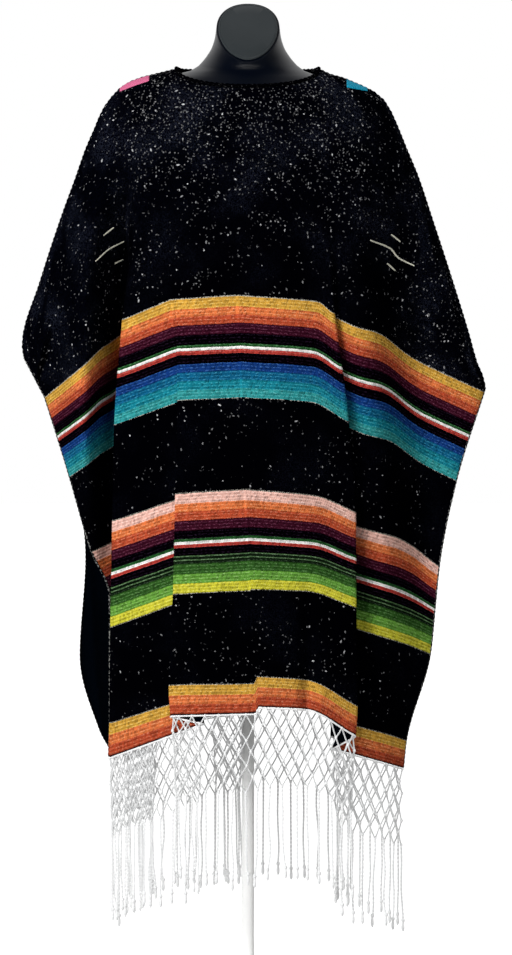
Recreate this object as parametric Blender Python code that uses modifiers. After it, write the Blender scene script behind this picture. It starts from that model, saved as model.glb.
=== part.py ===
"""A mexican serape poncho worn by a headless display torso on a round stand.

Metres, +Z up. The front faces -Y. The origin is the centre of the stand's underside.

The garment is two woven panels, front and back, sewn together along sloping shoulder seams
that end in a point at each side; below those points the panels hang free of each other.
Each panel is an open sheet of cloth given its thickness by a Solidify modifier. Its rows are
weft threads of the cloth and its columns are warp threads, so a pleat is a set of columns.
"""

import math
from collections import namedtuple

import bmesh
import bpy
import numpy as np

# ------------------------------------------------------------------ driving dimensions

WALL = 0.002              # thickness of the woven cloth
SEAM_HALF = 0.0006        # each panel's edge stands this far from the seam plane
PLEAT_ARC = 0.0078        # length of cloth in each of a pleat's two turns
PLEAT_FLAT = 0.010        # cloth between the two turns where the pleat has opened out
NECK_HALF = 0.112         # half the width of the neck opening
NECK_Z = 1.449            # height of the shoulder seam at the neck
NECK_DIP_FRONT = 0.032    # how far the neckline drops at the centre front
NECK_DIP_BACK = 0.008
NECK_ROUNDNESS = 0.7      # below 1 the neckline drops sooner beside the seams
BINDING_RADIUS = 0.0035
BINDING_LIFT = 0.0027     # the cord lies this far out of the panels' middle surface
BINDING_GAP = 0.0010
FRINGE_DROP = 0.255       # hem to fringe ends
FRINGE_GAP = 0.0009
UPPER_ROWS = 10           # rows from the shoulder seam to the first weft of the table
CREASE_STEP = 0.005       # from the centre crease to the next thread
CORNER_REACH = 0.15       # rows crowd towards the side points within this distance of them
PIECE_GAP = 0.0003        # between hard pieces that stand on each other

STAND_RADIUS = 0.19
STAND_THICKNESS = 0.012
POLE_RADIUS = 0.010
CAP_THICKNESS = 0.003
CAP_SHARE = 0.94          # the cap's width as a share of the neck's
FORM_SEGMENTS = 48

# Level slices through the garment: half-widths, depths to front and back, and the power of
# the rounded outline |x/width|^power + |y/depth|^power = 1.
Slice = namedtuple("Slice", "z left right front back power")
CLOTH_SLICES = (
    Slice(1.4530, 0.100, 0.098, 0.046, 0.046, 2.0),
    Slice(1.4490, 0.114, 0.112, 0.0525, 0.0525, 2.0),
    Slice(1.4400, 0.150, 0.132, 0.062, 0.062, 2.0),
    Slice(1.4350, 0.170, 0.150, 0.068, 0.068, 2.0),
    Slice(1.4256, 0.1936, 0.173, 0.0745, 0.076, 2.0),
    Slice(1.4160, 0.2065, 0.1952, 0.081, 0.084, 2.0),
    Slice(1.4000, 0.2205, 0.216, 0.091, 0.094, 2.0),
    Slice(1.3824, 0.2325, 0.2272, 0.100, 0.104, 2.0),
    Slice(1.3536, 0.2445, 0.2400, 0.1095, 0.112, 1.95),
    Slice(1.3200, 0.2592, 0.2535, 0.118, 0.118, 1.9),
    Slice(1.2784, 0.2736, 0.2709, 0.125, 0.124, 1.85),
    Slice(1.2128, 0.2976, 0.2928, 0.133, 0.130, 1.8),
    Slice(1.1104, 0.3312, 0.3262, 0.141, 0.138, 1.75),
    Slice(1.0088, 0.3600, 0.3571, 0.148, 0.144, 1.75),
    Slice(0.9872, 0.3576, 0.3625, 0.149, 0.145, 1.75),
    Slice(0.9392, 0.3395, 0.3792, 0.151, 0.147, 1.75),
    Slice(0.9000, 0.3200, 0.3750, 0.153, 0.149, 1.75),
    Slice(0.7904, 0.2960, 0.3430, 0.157, 0.152, 1.75),
    Slice(0.6544, 0.2850, 0.3190, 0.161, 0.155, 1.75),
    Slice(0.5136, 0.2760, 0.3060, 0.164, 0.158, 1.75),
    Slice(0.4000, 0.2640, 0.2820, 0.166, 0.160, 1.75),
    Slice(0.3000, 0.2500, 0.2700, 0.168, 0.162, 1.75),
)
CORNER_LEFT_Z = 0.9872    # the seams end here, at the two side points
CORNER_RIGHT_Z = 0.9392

# The torso, upwards from its flat bottom. The cloth rests on the shoulder rows.
FORM_SLICES = (
    Slice(0.7600, 0.147, 0.152, 0.100, 0.100, 2.2),
    Slice(0.7680, 0.153, 0.159, 0.106, 0.107, 2.2),
    Slice(0.8000, 0.157, 0.164, 0.110, 0.113, 2.2),
    Slice(0.8600, 0.159, 0.167, 0.114, 0.119, 2.2),
    Slice(0.9300, 0.154, 0.160, 0.110, 0.113, 2.2),
    Slice(1.0300, 0.143, 0.143, 0.100, 0.098, 2.2),
    Slice(1.1200, 0.151, 0.151, 0.107, 0.103, 2.2),
    Slice(1.2000, 0.168, 0.168, 0.116, 0.111, 2.1),
    Slice(1.2600, 0.188, 0.186, 0.1155, 0.1115, 2.05),
    Slice(1.3000, 0.204, 0.201, 0.1120, 0.1095, 2.0),
    Slice(1.3300, 0.218, 0.214, 0.1050, 0.1050, 2.0),
    Slice(1.3536, 0.2270, 0.2225, 0.0985, 0.1010, 2.0),
    Slice(1.3800, 0.2170, 0.2115, 0.0870, 0.0910, 2.0),
    Slice(1.3975, 0.2040, 0.1990, 0.0790, 0.0820, 2.0),
    Slice(1.4135, 0.1955, 0.1840, 0.0720, 0.0750, 2.0),
    Slice(1.4230, 0.1830, 0.1640, 0.0660, 0.0675, 2.0),
    Slice(1.4325, 0.1560, 0.1380, 0.0575, 0.0560, 2.0),
    Slice(1.4375, 0.1330, 0.1160, 0.0535, 0.0510, 2.0),
    Slice(1.4465, 0.0930, 0.0910, 0.0485, 0.0450, 2.0),
)

# Rings of the neck, which leans into its slanted cut.
NeckRing = namedtuple("NeckRing", "front_z back_z half_width front back")
NECK_RINGS = (
    NeckRing(1.4490, 1.4600, 0.0790, 0.0480, 0.0450),
    NeckRing(1.4515, 1.4800, 0.0680, 0.0485, 0.0460),
    NeckRing(1.4540, 1.5030, 0.0585, 0.0495, 0.0480),
    NeckRing(1.4565, 1.5290, 0.0530, 0.0500, 0.0480),
    NeckRing(1.4590, 1.5552, 0.0505, 0.0500, 0.0480),
)

# A pleat where a weft thread crosses it: turn is how far each of its two bends has closed,
# tuck the width hidden under it, x and z its visible edge, step how much lower the thread
# reappears on the layer below, climb how much higher it runs at the pleat's hidden end.
Pleat = namedtuple("Pleat", "turn tuck x z step climb", defaults=(0.0,))

# One row per weft thread, downwards. warp is the distance along the centre from the neck.
# left and right are the selvedges, outer and inner are the two pleats left of the centre,
# crease the centre, bend where the cloth starts to fall away, side the pleat right of the
# centre, and soft the soft fold outside it.
Weft = namedtuple(
    "Weft",
    "warp left_x left_z outer inner crease_x crease_z crease_rise bend_x bend_z side soft_x soft_z right_x right_z",
)
FRONT_WEFTS = (
    Weft(0.352, -0.3248, 0.9248, Pleat(150, 0.020, -0.2000, 1.0496, 0.027),
         Pleat(60, 0.004, -0.1160, 1.0816, 0.003), -0.0192, 1.0870, 0.000, 0.110, 1.0770,
         Pleat(100, 0.006, 0.1376, 1.0608, 0.013), 0.2480, 0.9940, 0.3776, 0.9335),
    Weft(0.515, -0.2848, 0.7968, Pleat(180, 0.034, -0.2128, 0.8800, 0.030),
         Pleat(120, 0.008, -0.1120, 0.9184, 0.006), -0.0112, 0.9224, 0.000, 0.100, 0.9152,
         Pleat(150, 0.012, 0.1600, 0.8850, 0.007), 0.2540, 0.8280, 0.3328, 0.7904),
    Weft(0.660, -0.2500, 0.6784, Pleat(180, 0.050, -0.2160, 0.7280, 0.036),
         Pleat(180, 0.014, -0.1152, 0.7712, 0.010), -0.0064, 0.7776, 0.000, 0.110, 0.7670,
         Pleat(180, 0.020, 0.1712, 0.7424, 0.019), 0.2624, 0.6832, 0.3056, 0.6544),
    Weft(0.735, -0.2215, 0.6070, Pleat(180, 0.054, -0.2175, 0.6493, 0.036),
         Pleat(180, 0.020, -0.1168, 0.6967, 0.010), -0.0030, 0.7032, 0.0005, 0.102, 0.6964,
         Pleat(180, 0.022, 0.1716, 0.6725, 0.029), 0.2585, 0.6126, 0.2991, 0.5897),
    Weft(0.823, -0.2208, 0.5180, Pleat(180, 0.058, -0.2190, 0.5568, 0.036),
         Pleat(180, 0.030, -0.1190, 0.6096, 0.010), 0.0016, 0.6152, 0.002, 0.091, 0.6144,
         Pleat(180, 0.024, 0.1720, 0.5888, 0.038), 0.2480, 0.5300, 0.2912, 0.5136),
    Weft(0.967, -0.2210, 0.3920, Pleat(180, 0.066, -0.2208, 0.4048, 0.008, 0.024),
         Pleat(180, 0.044, -0.1256, 0.4660, 0.033), 0.0096, 0.4690, 0.011, 0.093, 0.4740,
         Pleat(180, 0.030, 0.1740, 0.4336, 0.035), 0.2140, 0.3890, 0.2528, 0.3765),
    Weft(1.013, -0.2226, 0.3475, Pleat(180, 0.068, -0.2224, 0.3500, 0.004, 0.030),
         Pleat(180, 0.048, -0.1232, 0.4176, 0.027), 0.0120, 0.4210, 0.010, 0.093, 0.4272,
         Pleat(180, 0.030, 0.1712, 0.3872, 0.034), 0.2080, 0.3440, 0.2480, 0.3320),
)
BACK_WEFTS = (
    Weft(0.352, -0.3180, 0.9180, Pleat(120, 0.014, -0.1850, 1.0420, 0.018),
         Pleat(60, 0.004, -0.0700, 1.0820, 0.003), 0.0100, 1.0850, 0.000, 0.090, 1.0790,
         Pleat(110, 0.010, 0.1600, 1.0560, 0.012), 0.2500, 0.9930, 0.3560, 0.9080),
    Weft(0.515, -0.2760, 0.7920, Pleat(180, 0.028, -0.1930, 0.8820, 0.018),
         Pleat(120, 0.010, -0.0680, 0.9190, 0.006), 0.0100, 0.9220, 0.000, 0.090, 0.9160,
         Pleat(160, 0.018, 0.1640, 0.8860, 0.014), 0.2380, 0.8320, 0.3120, 0.7800),
    Weft(0.660, -0.2590, 0.6680, Pleat(180, 0.036, -0.1980, 0.7340, 0.016),
         Pleat(180, 0.020, -0.0660, 0.7730, 0.010), 0.0120, 0.7780, 0.000, 0.090, 0.7720,
         Pleat(180, 0.026, 0.1690, 0.7400, 0.014), 0.2360, 0.6900, 0.2870, 0.6520),
    Weft(0.823, -0.2680, 0.5120, Pleat(180, 0.042, -0.2040, 0.5700, 0.014),
         Pleat(180, 0.034, -0.0640, 0.6110, 0.016), 0.0150, 0.6160, 0.000, 0.090, 0.6110,
         Pleat(180, 0.032, 0.1720, 0.5800, 0.016), 0.2320, 0.5350, 0.2720, 0.5060),
    Weft(0.967, -0.2380, 0.3950, Pleat(180, 0.046, -0.2010, 0.4320, 0.012),
         Pleat(180, 0.046, -0.0620, 0.4720, 0.022), 0.0180, 0.4800, 0.000, 0.090, 0.4740,
         Pleat(180, 0.034, 0.1740, 0.4370, 0.016), 0.2200, 0.4000, 0.2480, 0.3850),
    Weft(1.013, -0.2200, 0.3600, Pleat(180, 0.048, -0.1980, 0.3920, 0.012),
         Pleat(180, 0.050, -0.0600, 0.4300, 0.022), 0.0180, 0.4360, 0.000, 0.090, 0.4300,
         Pleat(180, 0.034, 0.1720, 0.3920, 0.016), 0.2160, 0.3560, 0.2440, 0.3400),
)

# The wings' big soft folds. Each runs straight from x_high at z_high to x_low at z_low, stands
# out by height (a trough where it is below 0) and lifts the threads by lift.
Fold = namedtuple("Fold", "x_high z_high x_low z_low width height wing lift", defaults=(0.0,))
FOLDS = {
    -1: (
        Fold(-0.1620, 1.32, -0.2190, 0.30, 0.0325, -0.0980, "left"),
        Fold(-0.2467, 1.30, -0.2884, 0.60, 0.0324, 0.0780, "left", -0.002),
        Fold(0.0201, 1.26, 0.1809, 0.42, 0.0417, -0.0400, "right"),
        Fold(0.1663, 1.30, 0.2679, 0.38, 0.0350, 0.0285, "right"),
        Fold(0.262, 1.30, 0.256, 0.36, 0.064, -0.052, "right"),
        Fold(0.3535, 1.25, 0.3873, 0.30, 0.0489, -0.0175, "right"),
    ),
    1: (
        Fold(-0.205, 1.24, -0.215, 0.56, 0.022, -0.014, "left"),
        Fold(0.196, 1.26, 0.190, 0.50, 0.022, -0.014, "right"),
    ),
}
FOLD_START = 0.020        # the folds grow where the cloth stands this far out of the seam plane
FOLD_FULL = 0.075

# Columns of the cloth between its named threads, and where those threads start on the
# shoulder seam and neckline (as x there).
Columns = namedtuple("Columns", "wing pleat_turn pleat_flat outer_inner inner_crease crease_bend bend_side side_soft soft_right")
COLUMNS = Columns(8, 3, 3, 3, 5, 2, 3, 4, 6)
OUTER_TOP_X = -0.170
SOFT_TOP_X = 0.182
LOWER_ROWS = (0.352, 0.433, 0.515, 0.588, 0.660, 0.735, 0.823, 0.895, 0.967, 1.013)  # as warp distances
PLEAT_START = (0.62, 0.80, 0.74)    # share of the upper cloth above the outer, inner, side pleat
HIDDEN_SHARE = (0.25, 0.50, 0.70)   # share of a pleat's step that lies in its hidden part
SLOPE_REACH = 0.004       # half the distance over which the cloth's slant is read
LAYER_SPREAD_MAX = 2.2
LAYER_SHARE_MAX = 0.5     # a hidden layer lies back by no more than this share of the depth
WEFT_KEYS = ("left_x left_z crease_x crease_z crease_rise bend_x bend_z soft_x soft_z right_x right_z").split()

COLOURS = {
    "woven_black": ((0.010, 0.011, 0.020), 0.95, 0.0),
    "binding_black": ((0.006, 0.006, 0.008), 0.9, 0.0),
    "cotton_white": ((0.80, 0.80, 0.79), 0.9, 0.0),
    "form_black": ((0.008, 0.008, 0.009), 0.22, 0.0),
    "cap_grey": ((0.035, 0.036, 0.038), 0.4, 0.0),
    "stand_white": ((0.75, 0.75, 0.74), 0.4, 0.0),
}


# ------------------------------------------------------------------ curves and tables

def smooth(knots, values, at):
    """A curve through the knots that never swings past them (monotone cubic)."""
    knots = np.asarray(knots, float)
    values = np.asarray(values, float)
    step = np.diff(knots)
    rate = np.diff(values) / step
    slope = np.empty_like(values)
    slope[0] = rate[0]
    slope[-1] = rate[-1]
    turning = rate[:-1] * rate[1:] <= 0
    mean = 2 * rate[:-1] * rate[1:] / np.where(turning, 1, rate[:-1] + rate[1:])
    slope[1:-1] = np.where(turning, 0, mean)
    at = np.clip(at, knots[0], knots[-1])
    k = np.clip(np.searchsorted(knots, at, side="right") - 1, 0, len(step) - 1)
    u = (at - knots[k]) / step[k]
    rise = (3 - 2 * u) * u * u
    start = u * (1 - u) ** 2 * step[k]
    end = -u * u * (1 - u) * step[k]
    return values[k] + rise * (values[k + 1] - values[k]) + start * slope[k] + end * slope[k + 1]


def slice_value(slices, name, z):
    """One column of a slice table at the heights z."""
    rows = sorted(slices, key=lambda row: row.z)
    return smooth([row.z for row in rows], [getattr(row, name) for row in rows], z)


def cloth_depth(x, z, side):
    """How far the cloth stands out from the seam plane, at the front (-1) or the back (+1)."""
    width = np.where(x < 0, slice_value(CLOTH_SLICES, "left", z), slice_value(CLOTH_SLICES, "right", z))
    power = slice_value(CLOTH_SLICES, "power", z)
    depth = slice_value(CLOTH_SLICES, "front" if side < 0 else "back", z)
    left_over = np.clip(1 - np.clip(np.abs(x) / width, 0, 1) ** power, 0, 1)
    return depth * left_over ** (1 / power)


def folded_depth(x, z, side):
    """The cloth's depth and the heights of its threads with the wings' folds.

    A fold is a bell exp(-((x - centre)/width)^2) across, and a half sine along its length.
    """
    depth = cloth_depth(x, z, side)
    stops = Panel.stations()
    column = np.arange(x.size)
    fade = 0.6 * (stops[2] - stops[1])
    reach = {"left": 1 - rise(column, stops[1], stops[1] + fade), "right": rise(column, stops[9] - fade, stops[9])}
    strength = rise(depth, FOLD_START, FOLD_FULL)
    deeper, higher = np.zeros_like(x), np.zeros_like(x)
    for fold in FOLDS[side]:
        share = (fold.z_high - z) / (fold.z_high - fold.z_low)
        centre = fold.x_high + (fold.x_low - fold.x_high) * share
        bell = np.exp(-(((x - centre) / fold.width) ** 2)) * np.sin(np.pi * np.clip(share, 0, 1)) ** 0.8
        bell = bell * reach[fold.wing] * strength
        deeper = deeper + fold.height * bell
        higher = higher + fold.lift * bell
    return depth + deeper, z + higher


# ------------------------------------------------------------------ the woven panels

class Panel:
    """One panel of cloth: rows are weft threads, columns are warp threads."""

    def __init__(self, wefts, side, neck_dip):
        self.wefts = wefts
        self.side = side
        self.neck_dip = neck_dip

    def weft_row(self, weft, opening):
        """x, z and layer depth of every column on one weft; opening closes the three pleats."""
        c = COLUMNS
        ends = [self.pleat_path(pleat, share, sign, hidden) for pleat, share, sign, hidden
                in zip((weft.outer, weft.inner, weft.side), opening, (1, 1, -1), HIDDEN_SHARE)]
        outer, inner, side = ends
        drop = inner["depth"] + outer["depth"]
        wing = ease_ends(c.wing)
        pieces = [
            run([weft.left_x, outer["x"][0]], [weft.left_z, outer["z"][0]], [wing], drop),
            (outer["x"], outer["z"], inner["depth"] + outer["layers"]),
            run([outer["x"][-1], inner["x"][0]], [outer["z"][-1], inner["z"][0]],
                [shares(c.outer_inner)], inner["depth"]),
            (inner["x"], inner["z"], inner["layers"]),
            run([inner["x"][-1], weft.crease_x], [inner["z"][-1], weft.crease_z],
                [shares(c.inner_crease)], 0),
            run([weft.crease_x + CREASE_STEP, weft.bend_x, side["x"][0]],
                [weft.crease_z + weft.crease_rise, weft.bend_z, side["z"][0]],
                [shares(c.crease_bend), shares(c.bend_side)], 0),
            (side["x"], side["z"], side["layers"]),
            run([side["x"][-1], weft.soft_x, weft.right_x], [side["z"][-1], weft.soft_z, weft.right_z],
                [shares(c.side_soft), 1 - ease_ends(c.soft_right)[::-1]], side["depth"]),
        ]
        # A pleat's own ends are its neighbours' ends, so each run gives its inner columns only.
        pieces[0] = tuple(values[:-1] for values in pieces[0])
        pieces[2] = tuple(values[1:-1] for values in pieces[2])
        pieces[4] = tuple(values[1:] for values in pieces[4])
        pieces[5] = tuple(values[:-1] for values in pieces[5])
        pieces[7] = tuple(values[1:] for values in pieces[7])
        return np.array([np.concatenate(values) for values in zip(*pieces)])

    def pleat_path(self, pleat, share, sign, hidden):
        """The two turns of a pleat and the cloth between them, as one smooth path.

        The path heads along +x, swings through the turning angle, runs level and swings
        back. sign is +1 where the right-hand layer is on top, -1 where the left-hand one is.
        """
        angle = math.radians(max(pleat.turn * share, 1.0))
        flat = PLEAT_FLAT + (pleat.tuck - PLEAT_FLAT) * share
        turn = shares(COLUMNS.pleat_turn)
        level = shares(COLUMNS.pleat_flat)[1:]
        radius = PLEAT_ARC / angle
        first_x = radius * np.sin(angle * turn)
        first_y = radius * (1 - np.cos(angle * turn))
        level_x = first_x[-1] + flat * math.cos(angle) * level
        level_y = first_y[-1] + flat * math.sin(angle) * level
        last_x = level_x[-1] + first_x[-1] - first_x[::-1][1:]
        last_y = level_y[-1] + first_y[-1] - first_y[::-1][1:]
        x = np.concatenate([first_x, level_x, last_x])
        y = np.concatenate([first_y, level_y, last_y])
        length = np.concatenate([PLEAT_ARC * turn, PLEAT_ARC + flat * level, PLEAT_ARC + flat + PLEAT_ARC * turn[1:]])
        along = length / length[-1]
        edge = x[-1] - radius * math.sin(min(angle, math.pi / 2))
        fall = (pleat.step * hidden - pleat.climb) * share
        if sign > 0:
            return {"x": pleat.x + x - edge, "z": pleat.z - fall * (1 - along),
                    "layers": y[-1] - y, "depth": y[-1]}
        return {"x": pleat.x - (x - edge)[::-1], "z": pleat.z - fall * along,
                "layers": (y[-1] - y)[::-1], "depth": y[-1]}

    def top_edge(self):
        """x, z of every column on the shoulder seams and the neckline, and which are seam."""
        left_z = np.linspace(CORNER_LEFT_Z, NECK_Z, 400)
        right_z = np.linspace(NECK_Z, CORNER_RIGHT_Z, 400)
        around = np.linspace(0, math.pi, 201)[1:-1]
        neck_x = -NECK_HALF * np.cos(around)
        neck_z = NECK_Z - self.neck_dip * np.sin(around) ** NECK_ROUNDNESS
        neck_y = cloth_depth(neck_x, neck_z, self.side)
        left_x = np.minimum(-slice_value(CLOTH_SLICES, "left", left_z), -NECK_HALF)
        right_x = np.maximum(slice_value(CLOTH_SLICES, "right", right_z), NECK_HALF)
        left_walk = walked(left_x, left_z)
        neck_left = left_walk[-1]
        neck_walk = neck_left + walked(np.concatenate([[-NECK_HALF], neck_x, [NECK_HALF]]),
                                       np.concatenate([[NECK_Z], neck_z, [NECK_Z]]),
                                       np.concatenate([[0], neck_y, [0]]))
        neck_right = neck_walk[-1]
        x = np.concatenate([left_x, neck_x, right_x])
        z = np.concatenate([left_z, neck_z, right_z])
        walk = np.concatenate([left_walk, neck_walk[1:-1], neck_right + walked(right_x, right_z)])
        outer = walk[np.argmin(np.abs(x - OUTER_TOP_X))]
        soft = walk[np.argmin(np.abs(x - SOFT_TOP_X))]
        crease = 0.5 * (neck_left + neck_right)
        bend = 0.5 * (crease + neck_right)
        pleat_width = 2 * PLEAT_ARC + PLEAT_FLAT
        stops = self.stations()
        places = [0, outer, outer + pleat_width, neck_left - pleat_width, neck_left, crease,
                  crease + CREASE_STEP, bend, neck_right, neck_right + pleat_width, soft, walk[-1]]
        at = np.interp(np.arange(stops[-1] + 1), stops, places)
        on_seam = (at <= neck_left + 1e-9) | (at >= neck_right - 1e-9)
        return np.interp(at, walk, x), np.interp(at, walk, z), on_seam, at

    @staticmethod
    def stations():
        """Column numbers of the named threads, from the left selvedge to the right one."""
        c = COLUMNS
        pleat = 2 * c.pleat_turn + c.pleat_flat
        widths = [c.wing, pleat, c.outer_inner, pleat, c.inner_crease, 1, c.crease_bend,
                  c.bend_side, pleat, c.side_soft, c.soft_right]
        return np.concatenate([[0], np.cumsum(widths)])

    def grid(self):
        """Points of the panel's middle surface, as rows by columns by x, y, z."""
        top_x, top_z, on_seam, at = self.top_edge()
        near_corner = np.clip(np.minimum(at, at[-1] - at) / CORNER_REACH, 0, 1)
        rows = []
        for number in range(UPPER_ROWS):
            share = (number / UPPER_ROWS) ** (1 + near_corner)
            mean = float(share.max()) if number else 0.0
            opening = [rise(mean, start, 1) for start in PLEAT_START]
            x, z, layer = self.weft_row(self.wefts[0], opening)
            x = top_x + (x - top_x) * share
            z = top_z + (z - top_z) * share
            y, z = folded_depth(x, z, self.side)
            if number == 0:
                y = np.where(on_seam, 0, y)
                layer = layer * 0
            rows.append(self.place(x, y, z, layer))
        rows.extend(self.lower_row(self.weft_at(warp)) for warp in LOWER_ROWS)
        return np.array(rows)

    def lower_row(self, weft):
        x, z, layer = self.weft_row(weft, (1, 1, 1))
        y, z = folded_depth(x, z, self.side)
        return self.place(x, y, z, layer)

    def place(self, x, y, z, layer):
        """Points of a row; its pleats' layers lie apart square to the cloth, not along y."""
        slope = (cloth_depth(x + SLOPE_REACH, z, self.side)
                 - cloth_depth(x - SLOPE_REACH, z, self.side)) / (2 * SLOPE_REACH)
        spread = np.minimum(np.hypot(1, slope), LAYER_SPREAD_MAX)
        depth = y - np.minimum(layer * spread, LAYER_SHARE_MAX * y) + SEAM_HALF
        return np.stack([x, self.side * depth, z], axis=-1)

    def weft_at(self, warp):
        """The weft thread at any distance along the cloth, read between the table's rows."""
        warps = [weft.warp for weft in self.wefts]
        found = {key: float(smooth(warps, [getattr(weft, key) for weft in self.wefts], warp))
                 for key in WEFT_KEYS}
        for pleat in ("outer", "inner", "side"):
            found[pleat] = Pleat(*(
                float(smooth(warps, [getattr(getattr(weft, pleat), field) for weft in self.wefts], warp))
                for field in Pleat._fields))
        return Weft(warp=warp, **found)


def run(stops_x, stops_z, spacings, layer):
    """Columns from stop to stop: x by the spacings, z on a curve through the stops."""
    x = [np.array([stops_x[0]])]
    for start, end, spacing in zip(stops_x, stops_x[1:], spacings):
        x.append(start + (end - start) * spacing[1:])
    x = np.concatenate(x)
    z = smooth(stops_x, stops_z, x)
    return x, z, np.full_like(x, layer)


def walked(*coordinates):
    """Distance walked along a line of points."""
    steps = np.sqrt(sum(np.diff(values) ** 2 for values in coordinates))
    return np.concatenate([[0], np.cumsum(steps)])


def shares(count):
    return np.linspace(0, 1, count + 1)


def ease_ends(count):
    """Shares from 0 to 1 that crowd towards 0, where the cloth curves round the side."""
    return shares(count) ** 1.35


def rise(value, start, end):
    u = np.clip((value - start) / (end - start), 0, 1)
    return u * u * (3 - 2 * u)


# ------------------------------------------------------------------ Blender objects

def clear_scene():
    for item in list(bpy.data.objects):
        bpy.data.objects.remove(item, do_unlink=True)


def material(name):
    colour, roughness, metallic = COLOURS[name]
    made = bpy.data.materials.new(name)
    made.use_nodes = True
    shader = made.node_tree.nodes["Principled BSDF"]
    shader.inputs["Base Color"].default_value = (*colour, 1)
    shader.inputs["Roughness"].default_value = roughness
    shader.inputs["Metallic"].default_value = metallic
    return made


def add_mesh(name, bm, collection, surface, smooth_angle=40):
    mesh = bpy.data.meshes.new(name)
    bm.to_mesh(mesh)
    bm.free()
    mesh.shade_smooth()
    mesh.set_sharp_from_angle(angle=math.radians(smooth_angle))
    mesh.materials.append(surface)
    made = bpy.data.objects.new(name, mesh)
    collection.objects.link(made)
    return made


def sheet(name, points, collection, surface):
    """A sheet of cloth: an open grid of faces, thickened about its middle surface."""
    bm = bmesh.new()
    verts = [[bm.verts.new(point) for point in row] for row in points]
    for upper, lower in zip(verts, verts[1:]):
        for a, b, c, d in zip(upper, upper[1:], lower[1:], lower):
            bm.faces.new((a, d, c, b))
    made = add_mesh(name, bm, collection, surface)
    thick = made.modifiers.new("Cloth", "SOLIDIFY")
    thick.thickness = WALL
    thick.offset = 0
    thick.use_even_offset = False
    return made


def fringe_grid(panel_grid):
    """The reach of the knotted fringe: the hem's own line, and the same line at its ends."""
    top = panel_grid[-1] - [0, 0, FRINGE_GAP]
    bottom = panel_grid[-1] - [0, 0, FRINGE_DROP]
    return np.array([top, bottom])


def neck_path(front, back):
    """The line of the neck binding: just past the panels' neck edges, all the way round."""
    stops = Panel.stations()
    first, last = stops[4], stops[8]
    loops = []
    for points, side in ((front, -1), (back, 1)):
        edge = points[0, first:last + 1]
        along = np.gradient(edge, axis=0)
        along /= np.linalg.norm(along, axis=1)[:, None]
        inward = edge - points[3, first:last + 1]
        inward -= along * np.sum(inward * along, axis=1)[:, None]
        inward /= np.linalg.norm(inward, axis=1)[:, None]
        out = np.cross(along, inward)
        out *= np.sign(out[:, 2] + side * out[:, 1])[:, None]
        loops.append(edge + inward * (BINDING_RADIUS + BINDING_GAP) + out * BINDING_LIFT)
    front_loop, back_loop = loops
    left = (front_loop[0] + back_loop[0]) / 2
    right = (front_loop[-1] + back_loop[-1]) / 2
    return np.concatenate([[left], front_loop[1:-1], [right], back_loop[::-1][1:-1]])


def binding(path, collection, surface):
    """The crocheted cord edge: a closed tube on a smooth curve through the path."""
    around = np.concatenate([path[-1:], path, path[:2]])
    points = []
    for a, b, c, d in zip(around, around[1:], around[2:], around[3:]):
        for u in (0.0, 0.5):
            points.append(0.5 * (2 * b + (c - a) * u + (2 * a - 5 * b + 4 * c - d) * u * u
                                 + (3 * b - a - 3 * c + d) * u ** 3))
    curve = bpy.data.curves.new("neck_binding", "CURVE")
    curve.dimensions = "3D"
    curve.bevel_depth = BINDING_RADIUS
    curve.bevel_resolution = 2
    spline = curve.splines.new("POLY")
    spline.points.add(len(points) - 1)
    for target, point in zip(spline.points, points):
        target.co = (*point, 1)
    spline.use_cyclic_u = True
    curve.materials.append(surface)
    made = bpy.data.objects.new("neck_binding", curve)
    collection.objects.link(made)
    return made


def torso_rings():
    """Rings of the torso, from its flat bottom to its slanted neck cut."""
    angles = np.linspace(0, 2 * math.pi, FORM_SEGMENTS, endpoint=False)
    cos, sin = np.cos(angles), np.sin(angles)
    rings = []
    heights = [row.z for row in FORM_SLICES]
    levels = [heights[0], heights[1]]
    for low, high in zip(heights[1:], heights[2:]):
        count = max(1, round((high - low) / 0.028))
        levels += [low + (high - low) * (k + 1) / count for k in range(count)]
    for z in levels:
        row = {name: float(slice_value(FORM_SLICES, name, z)) for name in Slice._fields[1:]}
        width = np.where(cos < 0, row["left"], row["right"])
        depth = np.where(sin < 0, row["front"], row["back"])
        bend = 2 / row["power"]
        x = width * np.sign(cos) * np.abs(cos) ** bend
        y = depth * np.sign(sin) * np.abs(sin) ** bend
        rings.append(np.stack([x, y, np.full_like(x, z)], axis=-1))
    for ring in NECK_RINGS:
        y = np.where(sin < 0, ring.front, ring.back) * sin
        lean = (ring.back_z - ring.front_z) / (ring.back + ring.front)
        z = ring.front_z + lean * (y + ring.front)
        rings.append(np.stack([ring.half_width * cos, y, z], axis=-1))
    return rings


def torso(collection, surface):
    bm = bmesh.new()
    rings = [[bm.verts.new(point) for point in ring] for ring in torso_rings()]
    for lower, upper in zip(rings, rings[1:]):
        for k in range(FORM_SEGMENTS):
            after = (k + 1) % FORM_SEGMENTS
            bm.faces.new((lower[k], lower[after], upper[after], upper[k]))
    bm.faces.new(rings[0][::-1])
    bm.faces.new(rings[-1])
    return add_mesh("form_torso", bm, collection, surface)


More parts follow.
